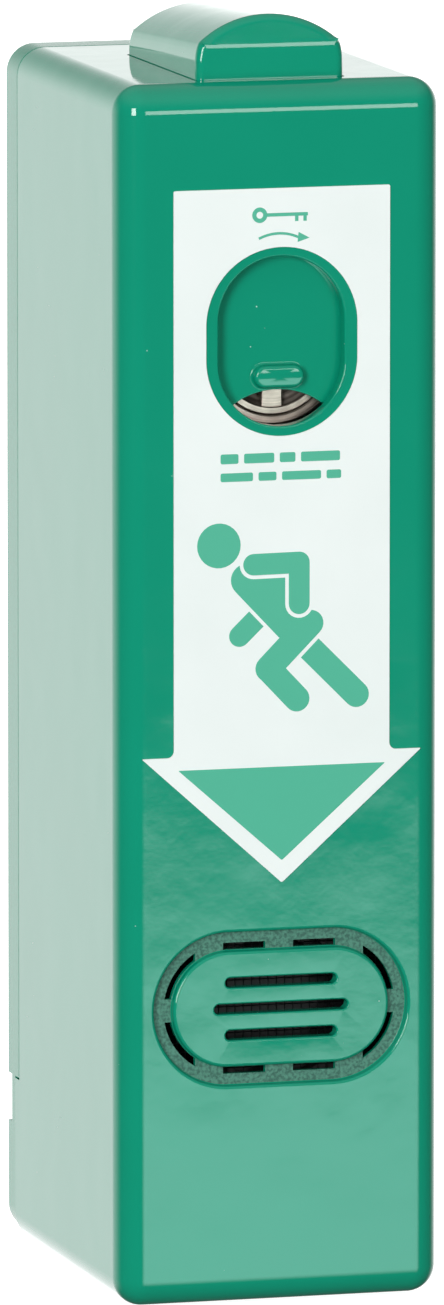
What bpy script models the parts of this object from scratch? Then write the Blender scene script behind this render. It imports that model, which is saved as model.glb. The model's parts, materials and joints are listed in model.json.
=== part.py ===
"""Exit door guard: an alarmed block that sits under the lever handle of an escape door.

A mounting plate is screwed to the door. The guard hangs in front of it on two slide shoes and can
be pushed down by the lever through the sprung bumper on top. Behind the sliding window cover is a
key lock, whose cam moves a small magnet past a reed switch to silence and reset the sounder.

All sizes are millimetres. X runs across, Z runs up, and "depth" runs from the door (0) to the
front, so a depth is minus Y. The origin is the centre of the mounting plate's back face.
"""
import math

import bmesh
import bpy
from mathutils import Matrix, Vector

MM = 0.001

# Driving dimensions of the outside
WIDTH = 58.0
HEIGHT = 213.0
DEPTH = 75.0
EDGE_RADIUS = 5.0
WALL = 2.5
GAP = 0.3

# Mounting plate and slide
PLATE_DEPTH = 7.4
PLATE_INSET = 0.1
PLATE_FOOT = 1.0
SKIRT_TOP = -77.2
SKIRT_BACK = 4.9
SLIDE_TRAVEL = 40.0
SLOT_TOP = 66.0
SLOT_BOTTOM = -97.0
SLOT_FLOOR = 2.0
SLOT_HALF = 12.3
LIP_BACK = 5.4
LIP_HALF = 19.3
RAIL_INNER = 7.0
RAIL_TOP = 70.0
CATCH_Z = 81.0

# Window, cover and lock
WINDOW_Z = 61.8
WINDOW_HALF = 11.3
WINDOW_TALL = 14.75
COVER_BOTTOM = 50.5
COVER_TOP = 79.0
LOCK_Z = 59.0
LOCK_FACE = 69.6
CAM_RADIUS = 5.0
CAM_REST = -45.0

# Arrow label
LABEL_TOP = 88.4
LABEL_HALF = 19.35
SHOULDER_Z = -9.95
ARROW_HALF = 25.1
ARROW_TIP = -32.5
CUTOUT_HALF = 13.55
CUTOUT_TALL = 16.4

# Sounder outlet
OUTLET_Z = -54.4
OUTLET_HALF = 22.8
OUTLET_TALL = 13.5
GROOVE_WIDTH = 3.4
GROOVE_DEEP = 1.4
EAR_PITCH = 21.5
EAR_DEPTHS = (63.6, 65.7)

# Bumper on top
BUMPER_HALF = 13.2
BUMPER_BACK = 23.0
BUMPER_FRONT = 68.0
BUMPER_SIDE = 5.8
BUMPER_ARCH = 5.4
BUMPER_SLOPE = 2.2
BUMPER_WALL = 2.0
PIN_DEPTHS = (33.0, 58.0)
BOSS_FOOT = 99.8
BRIDGE_TOP = 88.0

# Facets round a screw and its hole
SCREW_SIDES = 12

HALF_HEIGHT = HEIGHT / 2
INNER_HALF = WIDTH / 2 - WALL
INNER_TOP = HALF_HEIGHT - WALL
INNER_FRONT = DEPTH - WALL
RIM_BACK = PLATE_DEPTH + GAP
COVER_PLATE = (RIM_BACK, RIM_BACK + 2.0)
SHOE_CENTRES = {"upper": 40.0, "lower": -42.5}
BOSS_PLACES = [(x, z) for x in (-21.5, 21.5) for z in (-97.0, 97.0)]


# ---------------------------------------------------------------- scene and collections

for old in list(bpy.data.objects):
    bpy.data.objects.remove(old, do_unlink=True)

parts = bpy.data.collections.new("exit_door_guard")
cutters = bpy.data.collections.new("cutters")
bpy.context.scene.collection.children.link(parts)
bpy.context.scene.collection.children.link(cutters)


def finish(name, colour, roughness, metallic=0.0):
    """A plain Principled material."""
    material = bpy.data.materials.new(name)
    material.use_nodes = True
    shader = material.node_tree.nodes["Principled BSDF"]
    shader.inputs["Base Color"].default_value = (*colour, 1.0)
    shader.inputs["Roughness"].default_value = roughness
    shader.inputs["Metallic"].default_value = metallic
    material.diffuse_color = (*colour, 1.0)
    return material


GREEN = finish("green_abs", (0.006, 0.30, 0.19), 0.18)
DARK_GREEN = finish("green_plate", (0.006, 0.28, 0.18), 0.25)
LABEL_WHITE = finish("label_film", (0.86, 0.93, 0.91), 0.35)
STEEL = finish("bright_steel", (0.55, 0.55, 0.56), 0.28, 1.0)
LOCK_STEEL = finish("lock_nickel", (0.50, 0.47, 0.44), 0.32, 1.0)
BLACK = finish("black_nylon", (0.02, 0.02, 0.02), 0.50)
WHITE = finish("white_acetal", (0.75, 0.75, 0.72), 0.40)
RUBBER = finish("black_rubber", (0.015, 0.015, 0.015), 0.80)
BOARD = finish("board_green", (0.01, 0.14, 0.05), 0.40)
BATTERY = finish("battery_case", (0.10, 0.11, 0.13), 0.30, 0.6)
MAGNET = finish("magnet_nickel", (0.60, 0.60, 0.61), 0.20, 1.0)
GLASS = finish("reed_glass", (0.35, 0.45, 0.38), 0.10)
RED_WIRE = finish("red_wire", (0.50, 0.02, 0.02), 0.40)
BLACK_WIRE = finish("black_wire", (0.02, 0.02, 0.02), 0.40)


def axis_marker(name, location):
    """An empty on a moving body's joint; the body's pieces are its children."""
    marker = bpy.data.objects.new(name, None)
    marker.empty_display_size = 10 * MM
    marker.location = location
    parts.objects.link(marker)
    return marker


GUARD = axis_marker("guard_slide_axis", (0, 0, 0))
BUMPER = axis_marker("bumper_press_axis", (0, -45.5 * MM, HALF_HEIGHT * MM))
COVER = axis_marker("cover_slide_axis", (0, -71.5 * MM, 65 * MM))
ROTOR = axis_marker("reset_turn_axis", (0, -50 * MM, LOCK_Z * MM))
RELEASE = axis_marker("release_slide_axis", (0, -11 * MM, LOCK_Z * MM))
bpy.context.view_layer.update()


def place(piece, material, body=None):
    """Put a finished piece in the object's collection, on its body."""
    parts.objects.link(piece)
    if not piece.data.materials:
        piece.data.materials.append(material)
    if body:
        piece.parent = body
        piece.matrix_parent_inverse = body.matrix_world.inverted()
    return piece


# ---------------------------------------------------------------- shapes

def new_object(name, bm, location=(0, 0, 0)):
    mesh = bpy.data.meshes.new(name)
    bm.to_mesh(mesh)
    bm.free()
    piece = bpy.data.objects.new(name, mesh)
    piece.location = location
    return piece


def block(name, x, depth, z, corner=0.0, edge=0.0):
    """A box from (low, high) ranges; corner rounds its edges along Y, edge chamfers the rest."""
    low = Vector((x[0], -depth[1], z[0])) * MM
    high = Vector((x[1], -depth[0], z[1])) * MM
    bm = bmesh.new()
    bmesh.ops.create_cube(bm, size=1.0, matrix=Matrix.Diagonal((*(high - low), 1.0)))
    if corner:
        upright = [e for e in bm.edges if abs((e.verts[0].co - e.verts[1].co).y) > 1e-6]
        segments = 4 if corner > 3 else 2
        bmesh.ops.bevel(bm, geom=upright, offset=corner * MM, segments=segments, profile=0.5,
                        affect="EDGES")
    if edge:
        flat = [e for e in bm.edges if abs((e.verts[0].co - e.verts[1].co).y) < 1e-6]
        bmesh.ops.bevel(bm, geom=flat if corner else bm.edges[:], offset=edge * MM, segments=1,
                        profile=0.5, affect="EDGES")
    return new_object(name, bm, (low + high) / 2)


def rod(name, radius, span, centre, axis="Y", sides=16):
    """A cylinder. span is its (low, high) along the axis: a depth for Y, a height for Z."""
    middle = (span[0] + span[1]) / 2
    turn = {"Y": (math.pi / 2, "X"), "Z": (0.0, "X")}[axis]
    bm = bmesh.new()
    bmesh.ops.create_cone(bm, cap_ends=True, segments=sides, radius1=radius * MM, radius2=radius * MM,
                          depth=(span[1] - span[0]) * MM, matrix=Matrix.Rotation(turn[0], 4, turn[1]))
    if axis == "Y":
        return new_object(name, bm, Vector((centre[0], -middle, centre[1])) * MM)
    return new_object(name, bm, Vector((centre[0], -centre[1], middle)) * MM)


def stadium(name, half_width, half_height, centre_z, depth, sides=28, centre_x=0.0):
    """A block with two round ends, upright or lying down, with its axis along Y."""
    radius = min(half_width, half_height)
    stretch = Vector((half_width - radius, 0, half_height - radius)) * MM
    turn = Matrix.Rotation(math.pi / 2, 4, "X") @ Matrix.Rotation(math.pi / sides, 4, "Z")
    bm = bmesh.new()
    bmesh.ops.create_cone(bm, cap_ends=True, segments=sides, radius1=radius * MM, radius2=radius * MM,
                          depth=(depth[1] - depth[0]) * MM, matrix=turn)
    for vert in bm.verts:
        vert.co.x += math.copysign(stretch.x, vert.co.x)
        vert.co.z += math.copysign(stretch.z, vert.co.z)
    middle = (depth[0] + depth[1]) / 2
    return new_object(name, bm, Vector((centre_x, -middle, centre_z)) * MM)


FACINGS = {"front": (math.pi / 2, 0, 0), "back": (-math.pi / 2, 0, 0), "up": (0, 0, 0)}


def turned(name, profile, centre, facing, steps=16, closed=False):
    """A turned piece. profile is (radius, height) from its top down its outer side."""
    bm = bmesh.new()
    verts = [bm.verts.new((radius * MM, 0, height * MM)) for radius, height in profile]
    for first, second in zip(verts, verts[1:]):
        bm.edges.new((first, second))
    if closed:
        bm.edges.new((verts[-1], verts[0]))
    piece = new_object(name, bm, Vector((centre[0], -centre[1], centre[2])) * MM)
    piece.rotation_euler = FACINGS[facing]
    screw = piece.modifiers.new("turn", "SCREW")
    screw.steps = steps
    screw.render_steps = steps
    screw.use_merge_vertices = True
    screw.merge_threshold = 1e-6
    return piece


def ring(name, outer, inner, height, centre, facing, steps=24):
    """A flat ring whose lower face is at the centre given."""
    profile = [(outer, height), (outer, 0), (inner, 0), (inner, height)]
    return turned(name, profile, centre, facing, steps, closed=True)


def smooth_route(points, steps=3):
    """Points along a Catmull-Rom curve through the given points."""
    ends = [points[0]] + list(points) + [points[-1]]
    route = []
    for a, b, c, d in zip(ends, ends[1:], ends[2:], ends[3:]):
        for step in range(steps):
            t = step / steps
            route.append(tuple(
                0.5 * (2 * b[i] + (c[i] - a[i]) * t + (2 * a[i] - 5 * b[i] + 4 * c[i] - d[i]) * t ** 2
                       + (3 * b[i] - a[i] - 3 * c[i] + d[i]) * t ** 3) for i in range(3)))
    return route + [tuple(points[-1])]


def wire(name, points, radius, sides_level=2):
    """A round wire along points given as (x, depth, z)."""
    curve = bpy.data.curves.new(name, "CURVE")
    curve.dimensions = "3D"
    curve.bevel_depth = radius * MM
    curve.bevel_resolution = sides_level
    curve.use_fill_caps = True
    spline = curve.splines.new("POLY")
    spline.points.add(len(points) - 1)
    for point, (x, depth, z) in zip(spline.points, points):
        point.co = (x * MM, -depth * MM, z * MM, 1.0)
    return bpy.data.objects.new(name, curve)


def flat_outline(name, points, depth):
    """A closed outline of (x, z) points, as thick as the depth range."""
    curve = bpy.data.curves.new(name, "CURVE")
    curve.dimensions = "2D"
    curve.fill_mode = "BOTH"
    curve.extrude = (depth[1] - depth[0]) / 2 * MM
    spline = curve.splines.new("POLY")
    spline.points.add(len(points) - 1)
    for point, (x, z) in zip(spline.points, points):
        point.co = (x * MM, z * MM, 0, 1)
    spline.use_cyclic_u = True
    source = bpy.data.objects.new(name + "_outline", curve)
    source.location = (0, -(depth[0] + depth[1]) / 2 * MM, 0)
    source.rotation_euler = (math.pi / 2, 0, 0)
    bpy.context.scene.collection.objects.link(source)
    bpy.context.view_layer.update()
    mesh = bpy.data.meshes.new_from_object(source.evaluated_get(bpy.context.evaluated_depsgraph_get()))
    bm = bmesh.new()
    bm.from_mesh(mesh)
    bmesh.ops.remove_doubles(bm, verts=bm.verts[:], dist=1e-6)
    bm.to_mesh(mesh)
    bm.free()
    piece = bpy.data.objects.new(name, mesh)
    piece.matrix_world = source.matrix_world
    bpy.data.objects.remove(source, do_unlink=True)
    return piece


def combine(piece, tools, operation):
    """Cut tools out of a piece (DIFFERENCE), or join them to it (UNION)."""
    for tool in tools:
        cutters.objects.link(tool)
        tool.hide_render = True
        tool.display_type = "WIRE"
        modifier = piece.modifiers.new(tool.name, "BOOLEAN")
        modifier.operation = operation
        modifier.object = tool
    return piece


def countersink(name, x, z, face, bottom, facing=1):
    """The hole for a countersunk M3 screw whose head lies in the face at the given depth."""
    deep = -abs(face - bottom)
    profile = [(0, 0.4), (3.5, 0.4), (1.6, -1.5), (1.6, deep), (0, deep)]
    return turned(name, profile, (x, face, z), "front" if facing > 0 else "back", SCREW_SIDES)


def flat_screw(name, x, z, face, length, facing=1):
    """A countersunk M3 screw with its head just under the face at the given depth."""
    profile = [(0, -0.1), (2.85, -0.1), (1.3, -1.65), (1.3, -length), (0, -length)]
    return turned(name, profile, (x, face, z), "front" if facing > 0 else "back", SCREW_SIDES)


def pan_screw(name, place_at, length, facing):
    """A pan head M3 screw; the underside of its head is 0.1 above the point given."""
    profile = [(0, 1.9), (2.1, 1.9), (2.75, 1.3), (2.75, 0.1), (1.25, 0.1), (1.25, -length),
               (0, -length)]
    return turned(name, profile, place_at, facing, SCREW_SIDES)


# ---------------------------------------------------------------- mounting plate, fixed to the door

def make_base_plate():
    """The moulded plate with the T-slot for the shoes and the recesses for what it carries."""
    half = WIDTH / 2 - PLATE_INSET
    foot = -HALF_HEIGHT + PLATE_FOOT
    thin = SKIRT_BACK - GAP
    step_x = INNER_HALF - GAP
    plate = block("base_plate", (-half, half), (0, PLATE_DEPTH), (foot, HALF_HEIGHT), corner=EDGE_RADIUS,
                  edge=0.5)
    tools = [
        block("slot_pocket", (-SLOT_HALF, SLOT_HALF), (SLOT_FLOOR, 9), (SLOT_BOTTOM, SLOT_TOP)),
        block("rail_recess", (-LIP_HALF, LIP_HALF), (LIP_BACK, 9), (SLOT_BOTTOM - 0.5, RAIL_TOP + GAP)),
        block("catch_recess", (-9.3, 9.3), (5.1, 9), (CATCH_Z - 7.3, CATCH_Z + 7.3)),
        block("foot_step", (-40, 40), (thin, 9), (-120, -INNER_TOP + 3.0)),
        rod("magnet_recess", 2.8, (4.0, 9), (23.6, 30.0)),
        rod("catch_screw_hole", 1.6, (0.9, 6), (0, CATCH_Z)),
        block("top_relief", (-16, 16), (-1, 5.0), (92.0, 101.5), corner=1.5),
    ]
    for side in (-1, 1):
        edge_x = sorted((side * step_x, side * 40))
        tools.append(block("side_step", edge_x, (thin, 9), (-120, SKIRT_TOP + GAP)))
        notch_x = sorted((side * 26.4, side * 40))
        tools.append(block("pry_notch", notch_x, (-1, 2.4), (-85.5, SKIRT_TOP + GAP)))
        for low, high in ((-50, -10), (-5, 20), (40, 78)):
            tools.append(block("back_relief", sorted((side * 21.2, side * 26.4)), (-1, 5.0), (low, high),
                               corner=1.5))
        for z in (90.0, -62.0):
            tools.append(countersink("door_screw_hole", side * 23.8, z, PLATE_DEPTH, -1))
        for z in (55.0, -80.0):
            tools.append(rod("rail_screw_hole", 1.6, (0.9, 6), (side * 15.8, z)))
    place(combine(plate, tools, "DIFFERENCE"), DARK_GREEN)


def make_slide_rails():
    """Two steel strips that close the T-slot over the shoes, each with two countersunk screws."""
    for side, word in ((-1, "left"), (1, "right")):
        rail = block("slide_rail_" + word, sorted((side * RAIL_INNER, side * (LIP_HALF - GAP))),
                     (LIP_BACK + 0.1, PLATE_DEPTH - 0.1), (SLOT_BOTTOM, RAIL_TOP))
        holes = []
        for count, z in enumerate((55.0, -80.0), 1):
            holes.append(countersink("rail_countersink", side * 15.8, z, PLATE_DEPTH - 0.1, 4))
            place(flat_screw(f"rail_screw_{word}_{count}", side * 15.8, z, PLATE_DEPTH - 0.1, 6.0), STEEL)
        place(combine(rail, holes, "DIFFERENCE"), STEEL)


def make_plate_fittings():
    """The end stop, the armature that the catch magnet holds, and the position magnet."""
    shoe_bottom = SHOE_CENTRES["lower"] - 10 - SLIDE_TRAVEL
    buffer = block("end_stop_buffer", (-11.8, 11.8), (SLOT_FLOOR + GAP, LIP_BACK - 0.2),
                   (SLOT_BOTTOM + GAP, shoe_bottom - GAP), edge=0.4)
    place(buffer, RUBBER)
    armature = block("catch_armature", (-9, 9), (LIP_BACK, PLATE_DEPTH - 0.1), (CATCH_Z - 7, CATCH_Z + 7))
    place(combine(armature, [countersink("catch_countersink", 0, CATCH_Z, PLATE_DEPTH - 0.1, 4)],
                  "DIFFERENCE"), STEEL)
    place(flat_screw("armature_screw", 0, CATCH_Z, PLATE_DEPTH - 0.1, 6.0), STEEL)
    place(rod("position_magnet", 2.5, (4.2, 7.2), (23.6, 30.0)), MAGNET)


# ---------------------------------------------------------------- guard: the housing and rear cover

def housing_shell():
    """An open box whose front and outline edges are round; its wall comes from Solidify."""
    size = Vector((WIDTH, DEPTH - SKIRT_BACK, HEIGHT)) * MM
    bm = bmesh.new()
    bmesh.ops.create_cube(bm, size=1.0, matrix=Matrix.Diagonal((*size, 1.0)))
    back = [face for face in bm.faces if face.normal.y > 0.9]
    bmesh.ops.delete(bm, geom=back, context="FACES")
    rounded = [edge for edge in bm.edges if not edge.is_boundary]
    bmesh.ops.bevel(bm, geom=rounded, offset=EDGE_RADIUS * MM, segments=4, profile=0.5, affect="EDGES")
    shell = new_object("front_housing", bm, (0, -(DEPTH + SKIRT_BACK) / 2 * MM, 0))
    wall = shell.modifiers.new("wall", "SOLIDIFY")
    wall.thickness = WALL * MM
    wall.offset = -1
    wall.use_even_offset = True
    return shell


def housing_bosses():
    """Screw bosses, the bridge ledges and the rails of the window cover, joined to the shell."""
    root = INNER_FRONT + 1.0
    tools = []
    for x, z in BOSS_PLACES:
        side = math.copysign(1, x)
        tools.append(rod("corner_boss", 3.4, (10.0, root), (x, z)))
        rib_x = sorted((x, side * (INNER_HALF + 1)))
        tools.append(block("corner_rib", rib_x, (10.4, root - 0.3), (z - 0.8, z + 0.8)))
    for side in (-1, 1):
        tools.append(rod("bracket_boss", 3.2, (62.3, root), (side * 20.5, LOCK_Z)))
        tools.append(rod("sounder_boss", 2.8, (66.0, root), (0, OUTLET_Z + side * EAR_PITCH)))
        ledge_x = sorted((side * 19.5, side * (INNER_HALF + 1)))
        tools.append(block("bridge_ledge", ledge_x, (41, 51), (76, 85.7)))
        tools.append(block("cover_rail", sorted((side * 14.2, side * 16.4)), (69.8, root), (37, 98)))
        tools.append(block("cover_lip", sorted((side * 12.9, side * 14.6)), (69.8, 70.5), (37.3, 97.7)))
        tools.append(block("cover_stop", sorted((side * 12.5, side * 14.8)), (70.2, root - 0.2),
                           (46.5, COVER_BOTTOM - GAP)))
    return tools


def groove_ring(name, half_width, half_height, width, depth):
    """A racetrack-shaped ring for cutting: the outer block less the inner one."""
    outer = stadium(name, half_width, half_height, OUTLET_Z, depth)
    inner = stadium(name + "_core", half_width - width, half_height - width, OUTLET_Z,
                    (depth[0] - 1, depth[1] + 1))
    return combine(outer, [inner], "DIFFERENCE")


def housing_openings():
    """Everything that is cut: the window, the top opening, screw holes and the sounder outlet."""
    tools = [
        stadium("window", WINDOW_HALF, WINDOW_TALL, WINDOW_Z, (70.9, 77), sides=32),
        block("top_opening", (-BUMPER_HALF - GAP, BUMPER_HALF + GAP),
              (BUMPER_BACK - GAP, BUMPER_FRONT + GAP), (95, 110)),
        block("rim_trim", (-40, 40), (0, RIM_BACK), (SKIRT_TOP, 120)),
        groove_ring("outlet_groove", OUTLET_HALF, OUTLET_TALL, GROOVE_WIDTH, (DEPTH - GROOVE_DEEP, 77)),
    ]
    for row in (-1, 0, 1):
        reach = 10.0 if row else 12.0
        tools.append(stadium("louvre", reach, 0.9, OUTLET_Z + 4.6 * row, (71, 77), sides=8))
    slots = groove_ring("outlet_slots", OUTLET_HALF - 2.0, OUTLET_TALL - 2.0, 1.2, (71, 77))
    bridges = [block("slot_bridge", (x - 2.5, x + 2.5), (70, 78), (OUTLET_Z - 20, OUTLET_Z + 20))
               for x in (-12.6, 0.0, 12.6)]
    bridges.append(block("slot_bridge", (-30, 30), (70, 78), (OUTLET_Z - 2, OUTLET_Z + 2)))
    tools.append(combine(slots, bridges, "DIFFERENCE"))
    for x, z in BOSS_PLACES:
        tools.append(rod("boss_hole", 1.6, (9, 24), (x, z), sides=SCREW_SIDES))
    for side in (-1, 1):
        tools.append(rod("bracket_hole", 1.6, (61, 70.6), (side * 20.5, LOCK_Z), sides=SCREW_SIDES))
        ear_at = (0, OUTLET_Z + side * EAR_PITCH)
        tools.append(rod("sounder_hole", 1.6, (65, 71.0), ear_at, sides=SCREW_SIDES))
        tools.append(rod("bridge_hole", 1.6, (79, 87), (side * 22.5, 46.0), axis="Z", sides=SCREW_SIDES))
    return tools


def make_front_housing():
    shell = housing_shell()
    combine(shell, housing_bosses(), "UNION")
    combine(shell, housing_openings(), "DIFFERENCE")
    place(shell, GREEN, GUARD)


def make_rear_cover():
    """The cover that closes the housing, with the battery bay and the release slide's guides."""
    side_x = INNER_HALF - GAP
    top = INNER_TOP - GAP
    front = COVER_PLATE[1]
    cover = block("rear_cover", (-side_x, side_x), COVER_PLATE, (-top, top), corner=2.2)
    grown = [
        block("battery_floor", (-15.1, 15.1), (front - 0.5, 22), (-100.5, -99.0)),
        ring("magnet_collar", 8.4, 6.3, 3.0, (0, front - 0.5, CATCH_Z), "front"),
    ]
    for side in (-1, 1):
        wall_x = sorted((side * 13.6, side * 15.2))
        grown.append(block("battery_wall", wall_x, (front - 0.4, 22.2), (-100.7, -52)))
        guide_z = sorted((LOCK_Z + side * 9.8, LOCK_Z + side * 11.8))
        grown.append(block("slide_guide", (-20, 19), (front - 0.5, 13.6), guide_z))
        lip_z = sorted((LOCK_Z + side * 8.2, LOCK_Z + side * 10.2))
        grown.append(block("slide_lip", (-19.8, 18.8), (12.3, 13.4), lip_z))
        for z in (-32.0, 36.0):
            grown.append(rod("board_post", 2.2, (front - 0.5, 12.7), (side * 17.5, z), sides=SCREW_SIDES))
    cut = [rod("magnet_hole", 6.3, (5, 13), (0, CATCH_Z), sides=24)]
    for x, z in BOSS_PLACES:
        cut.append(countersink("cover_countersink", x, z, COVER_PLATE[0], 12, facing=-1))
    for z in SHOE_CENTRES.values():
        cut.append(rod("shoe_hole", 1.6, (6, 11), (0, z), sides=SCREW_SIDES))
    combine(cover, grown, "UNION")
    combine(cover, cut, "DIFFERENCE")
    place(cover, DARK_GREEN, GUARD)
    for count, (x, z) in enumerate(BOSS_PLACES, 1):
        place(flat_screw(f"housing_screw_{count}", x, z, COVER_PLATE[0], 15.0, facing=-1), STEEL, GUARD)
    place(rod("catch_magnet", 6.0, (RIM_BACK + 0.2, 11.9), (0, CATCH_Z), sides=24), MAGNET, GUARD)


def make_slide_shoes():
    """Two acetal T-shoes that run in the slot, each held to the rear cover by one screw."""
    for word, z in SHOE_CENTRES.items():
        head = block("slide_shoe_" + word, (-SLOT_HALF + GAP, SLOT_HALF - GAP),
                     (SLOT_FLOOR + GAP, LIP_BACK - GAP), (z - 10, z + 10), edge=0.4)
        neck_half = RAIL_INNER - GAP
        neck = block("shoe_neck", (-neck_half, neck_half), (4.5, RIM_BACK - GAP), (z - 9, z + 9))
        combine(head, [neck], "UNION")
        combine(head, [rod("shoe_screw_hole", 1.6, (3.4, 9), (0, z), sides=SCREW_SIDES)], "DIFFERENCE")
        place(head, WHITE, GUARD)
        place(pan_screw("shoe_screw_" + word, (0, COVER_PLATE[1], z), 6.0, "front"), STEEL, GUARD)


# ---------------------------------------------------------------- guard: electrics

def make_electronics():
    """Circuit board with its two reed switches, the 9 V battery, its snap and leads."""
    board = block("circuit_board", (-21.4, 21.4), (13.0, 14.6), (-36, 44))
    grown = [
        block("board_arm", (-26.0, -21.3), (13.05, 14.55), (20, 70)),
        block("controller", (-6, 6), (14.3, 16.4), (-2, 10)),
        block("terminal_block", (-16.5, -2.5), (14.3, 22.0), (-24, -17), edge=0.5),
        rod("capacitor", 4.0, (14.3, 25.0), (12.0, 10.0)),
    ]
    for x in (-10.0, 6.0, 12.0):
        grown.append(block("small_part", (x - 2, x + 2), (14.3, 15.6), (18, 24)))
    place(combine(board, grown, "UNION"), BOARD, GUARD)
    place(rod("reed_switch_key", 1.1, (52, 66), (-23.7, 16.1), axis="Z", sides=10), GLASS, GUARD)
    place(rod("reed_switch_slide", 1.1, (23, 37), (18.8, 16.1), axis="Z", sides=10), GLASS, GUARD)

    battery = block("battery_9v", (-13.2, 13.2), (10.1, 27.4), (-98.7, -52.4), edge=1.2)
    terminals = [rod("battery_terminal", 3.2, (-53, -49.9), (x, 18.7), axis="Z", sides=SCREW_SIDES)
                 for x in (-6.4, 6.4)]
    place(combine(battery, terminals, "UNION"), BATTERY, GUARD)
    place(block("battery_snap", (-12.5, 12.5), (13.0, 24.5), (-49.6, -46.6), edge=0.8), BLACK, GUARD)
    red = [(-4, 20, -46.3), (-4.2, 20.4, -43), (-7, 22, -38), (-10.5, 24, -32.5),
           (-12.5, 25.5, -26), (-12.8, 24.8, -21.8), (-12.8, 22.6, -20.5)]
    black = [(4, 20, -46.3), (4, 20.4, -43), (2.5, 22, -38), (-2.5, 24, -32.5),
             (-6, 25.5, -26), (-7, 24.8, -21.8), (-7, 22.6, -20.5)]
    place(wire("battery_lead_red", smooth_route(red), 0.7), RED_WIRE, GUARD)
    place(wire("battery_lead_black", smooth_route(black), 0.7), BLACK_WIRE, GUARD)


def make_sounder():
    """Sounder capsule with ears, gasket and mesh behind the outlet, and its two leads."""
    body = [(0, 16.0), (11.5, 16.0), (11.5, 18.0), (17.0, 18.0), (17.0, 2.0), (15.5, 0.0), (0, 0.0)]
    capsule = turned("sounder", body, (0, 50.0, OUTLET_Z), "front", steps=24)
    ears = block("sounder_ears", (-4, 4), EAR_DEPTHS, (OUTLET_Z - 24.5, OUTLET_Z + 24.5))
    combine(capsule, [ears], "UNION")
    holes = [rod("ear_hole", 1.6, (60, 68), (0, OUTLET_Z + side * EAR_PITCH), sides=SCREW_SIDES)
             for side in (-1, 1)]
    place(combine(capsule, holes, "DIFFERENCE"), BLACK, GUARD)
    place(ring("sounder_gasket", 16.6, 13.4, 3.0, (0, 68.3, OUTLET_Z), "front"), RUBBER, GUARD)
    place(block("grille_mesh", (-24, 24), (71.7, 72.15), (OUTLET_Z - 15.5, OUTLET_Z + 15.5)), BLACK, GUARD)
    for count, side in enumerate((1, -1), 1):
        screw_at = (0, EAR_DEPTHS[0], OUTLET_Z + side * EAR_PITCH)
        place(pan_screw(f"sounder_screw_{count}", screw_at, 6.0, "back"), STEEL, GUARD)
    for side, word, finish_used in ((-1, "red", RED_WIRE), (1, "black", BLACK_WIRE)):
        route = [(4 * side, 49.6, -52), (4.2 * side, 46, -51.6), (6 * side, 38, -45), (8 * side, 28, -38),
                 (8.5 * side + 8, 19, -32), (9 * side + 8, 15.8, -29.6), (9 * side + 8, 15.0, -29.2)]
        place(wire("sounder_lead_" + word, smooth_route(route), 0.7), finish_used, GUARD)


# ---------------------------------------------------------------- guard: lock, cover and cam

def make_lock():
    """Lock body in its steel bracket, with the nut behind it and two bracket screws."""
    bracket = block("lock_bracket", (-24, 24), (60, 62), (44, 75.5), corner=2)
    holes = [rod("barrel_hole", 10.4, (59, 63), (0, LOCK_Z), sides=28)]
    for count, side in enumerate((-1, 1), 1):
        holes.append(rod("bracket_screw_hole", 1.8, (59, 63), (side * 20.5, LOCK_Z), sides=SCREW_SIDES))
        place(pan_screw(f"bracket_screw_{count}", (side * 20.5, 60.0, LOCK_Z), 9.5, "back"), STEEL, GUARD)
    place(combine(bracket, holes, "DIFFERENCE"), STEEL, GUARD)

    body = [(12.0, LOCK_FACE), (12.3, LOCK_FACE - 0.3), (12.3, 62.3), (10.0, 62.3), (10.0, 40.0),
            (6.3, 40.0), (6.3, 64.5), (10.75, 64.5), (10.75, LOCK_FACE)]
    place(turned("lock_body", body, (0, 0, LOCK_Z), "front", steps=32, closed=True), LOCK_STEEL, GUARD)
    nut = rod("lock_nut", 14.8, (56.8, 59.7), (0, LOCK_Z), sides=6)
    combine(nut, [rod("nut_hole", 10.35, (55, 61), (0, LOCK_Z), sides=28)], "DIFFERENCE")
    place(nut, STEEL, GUARD)


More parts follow.
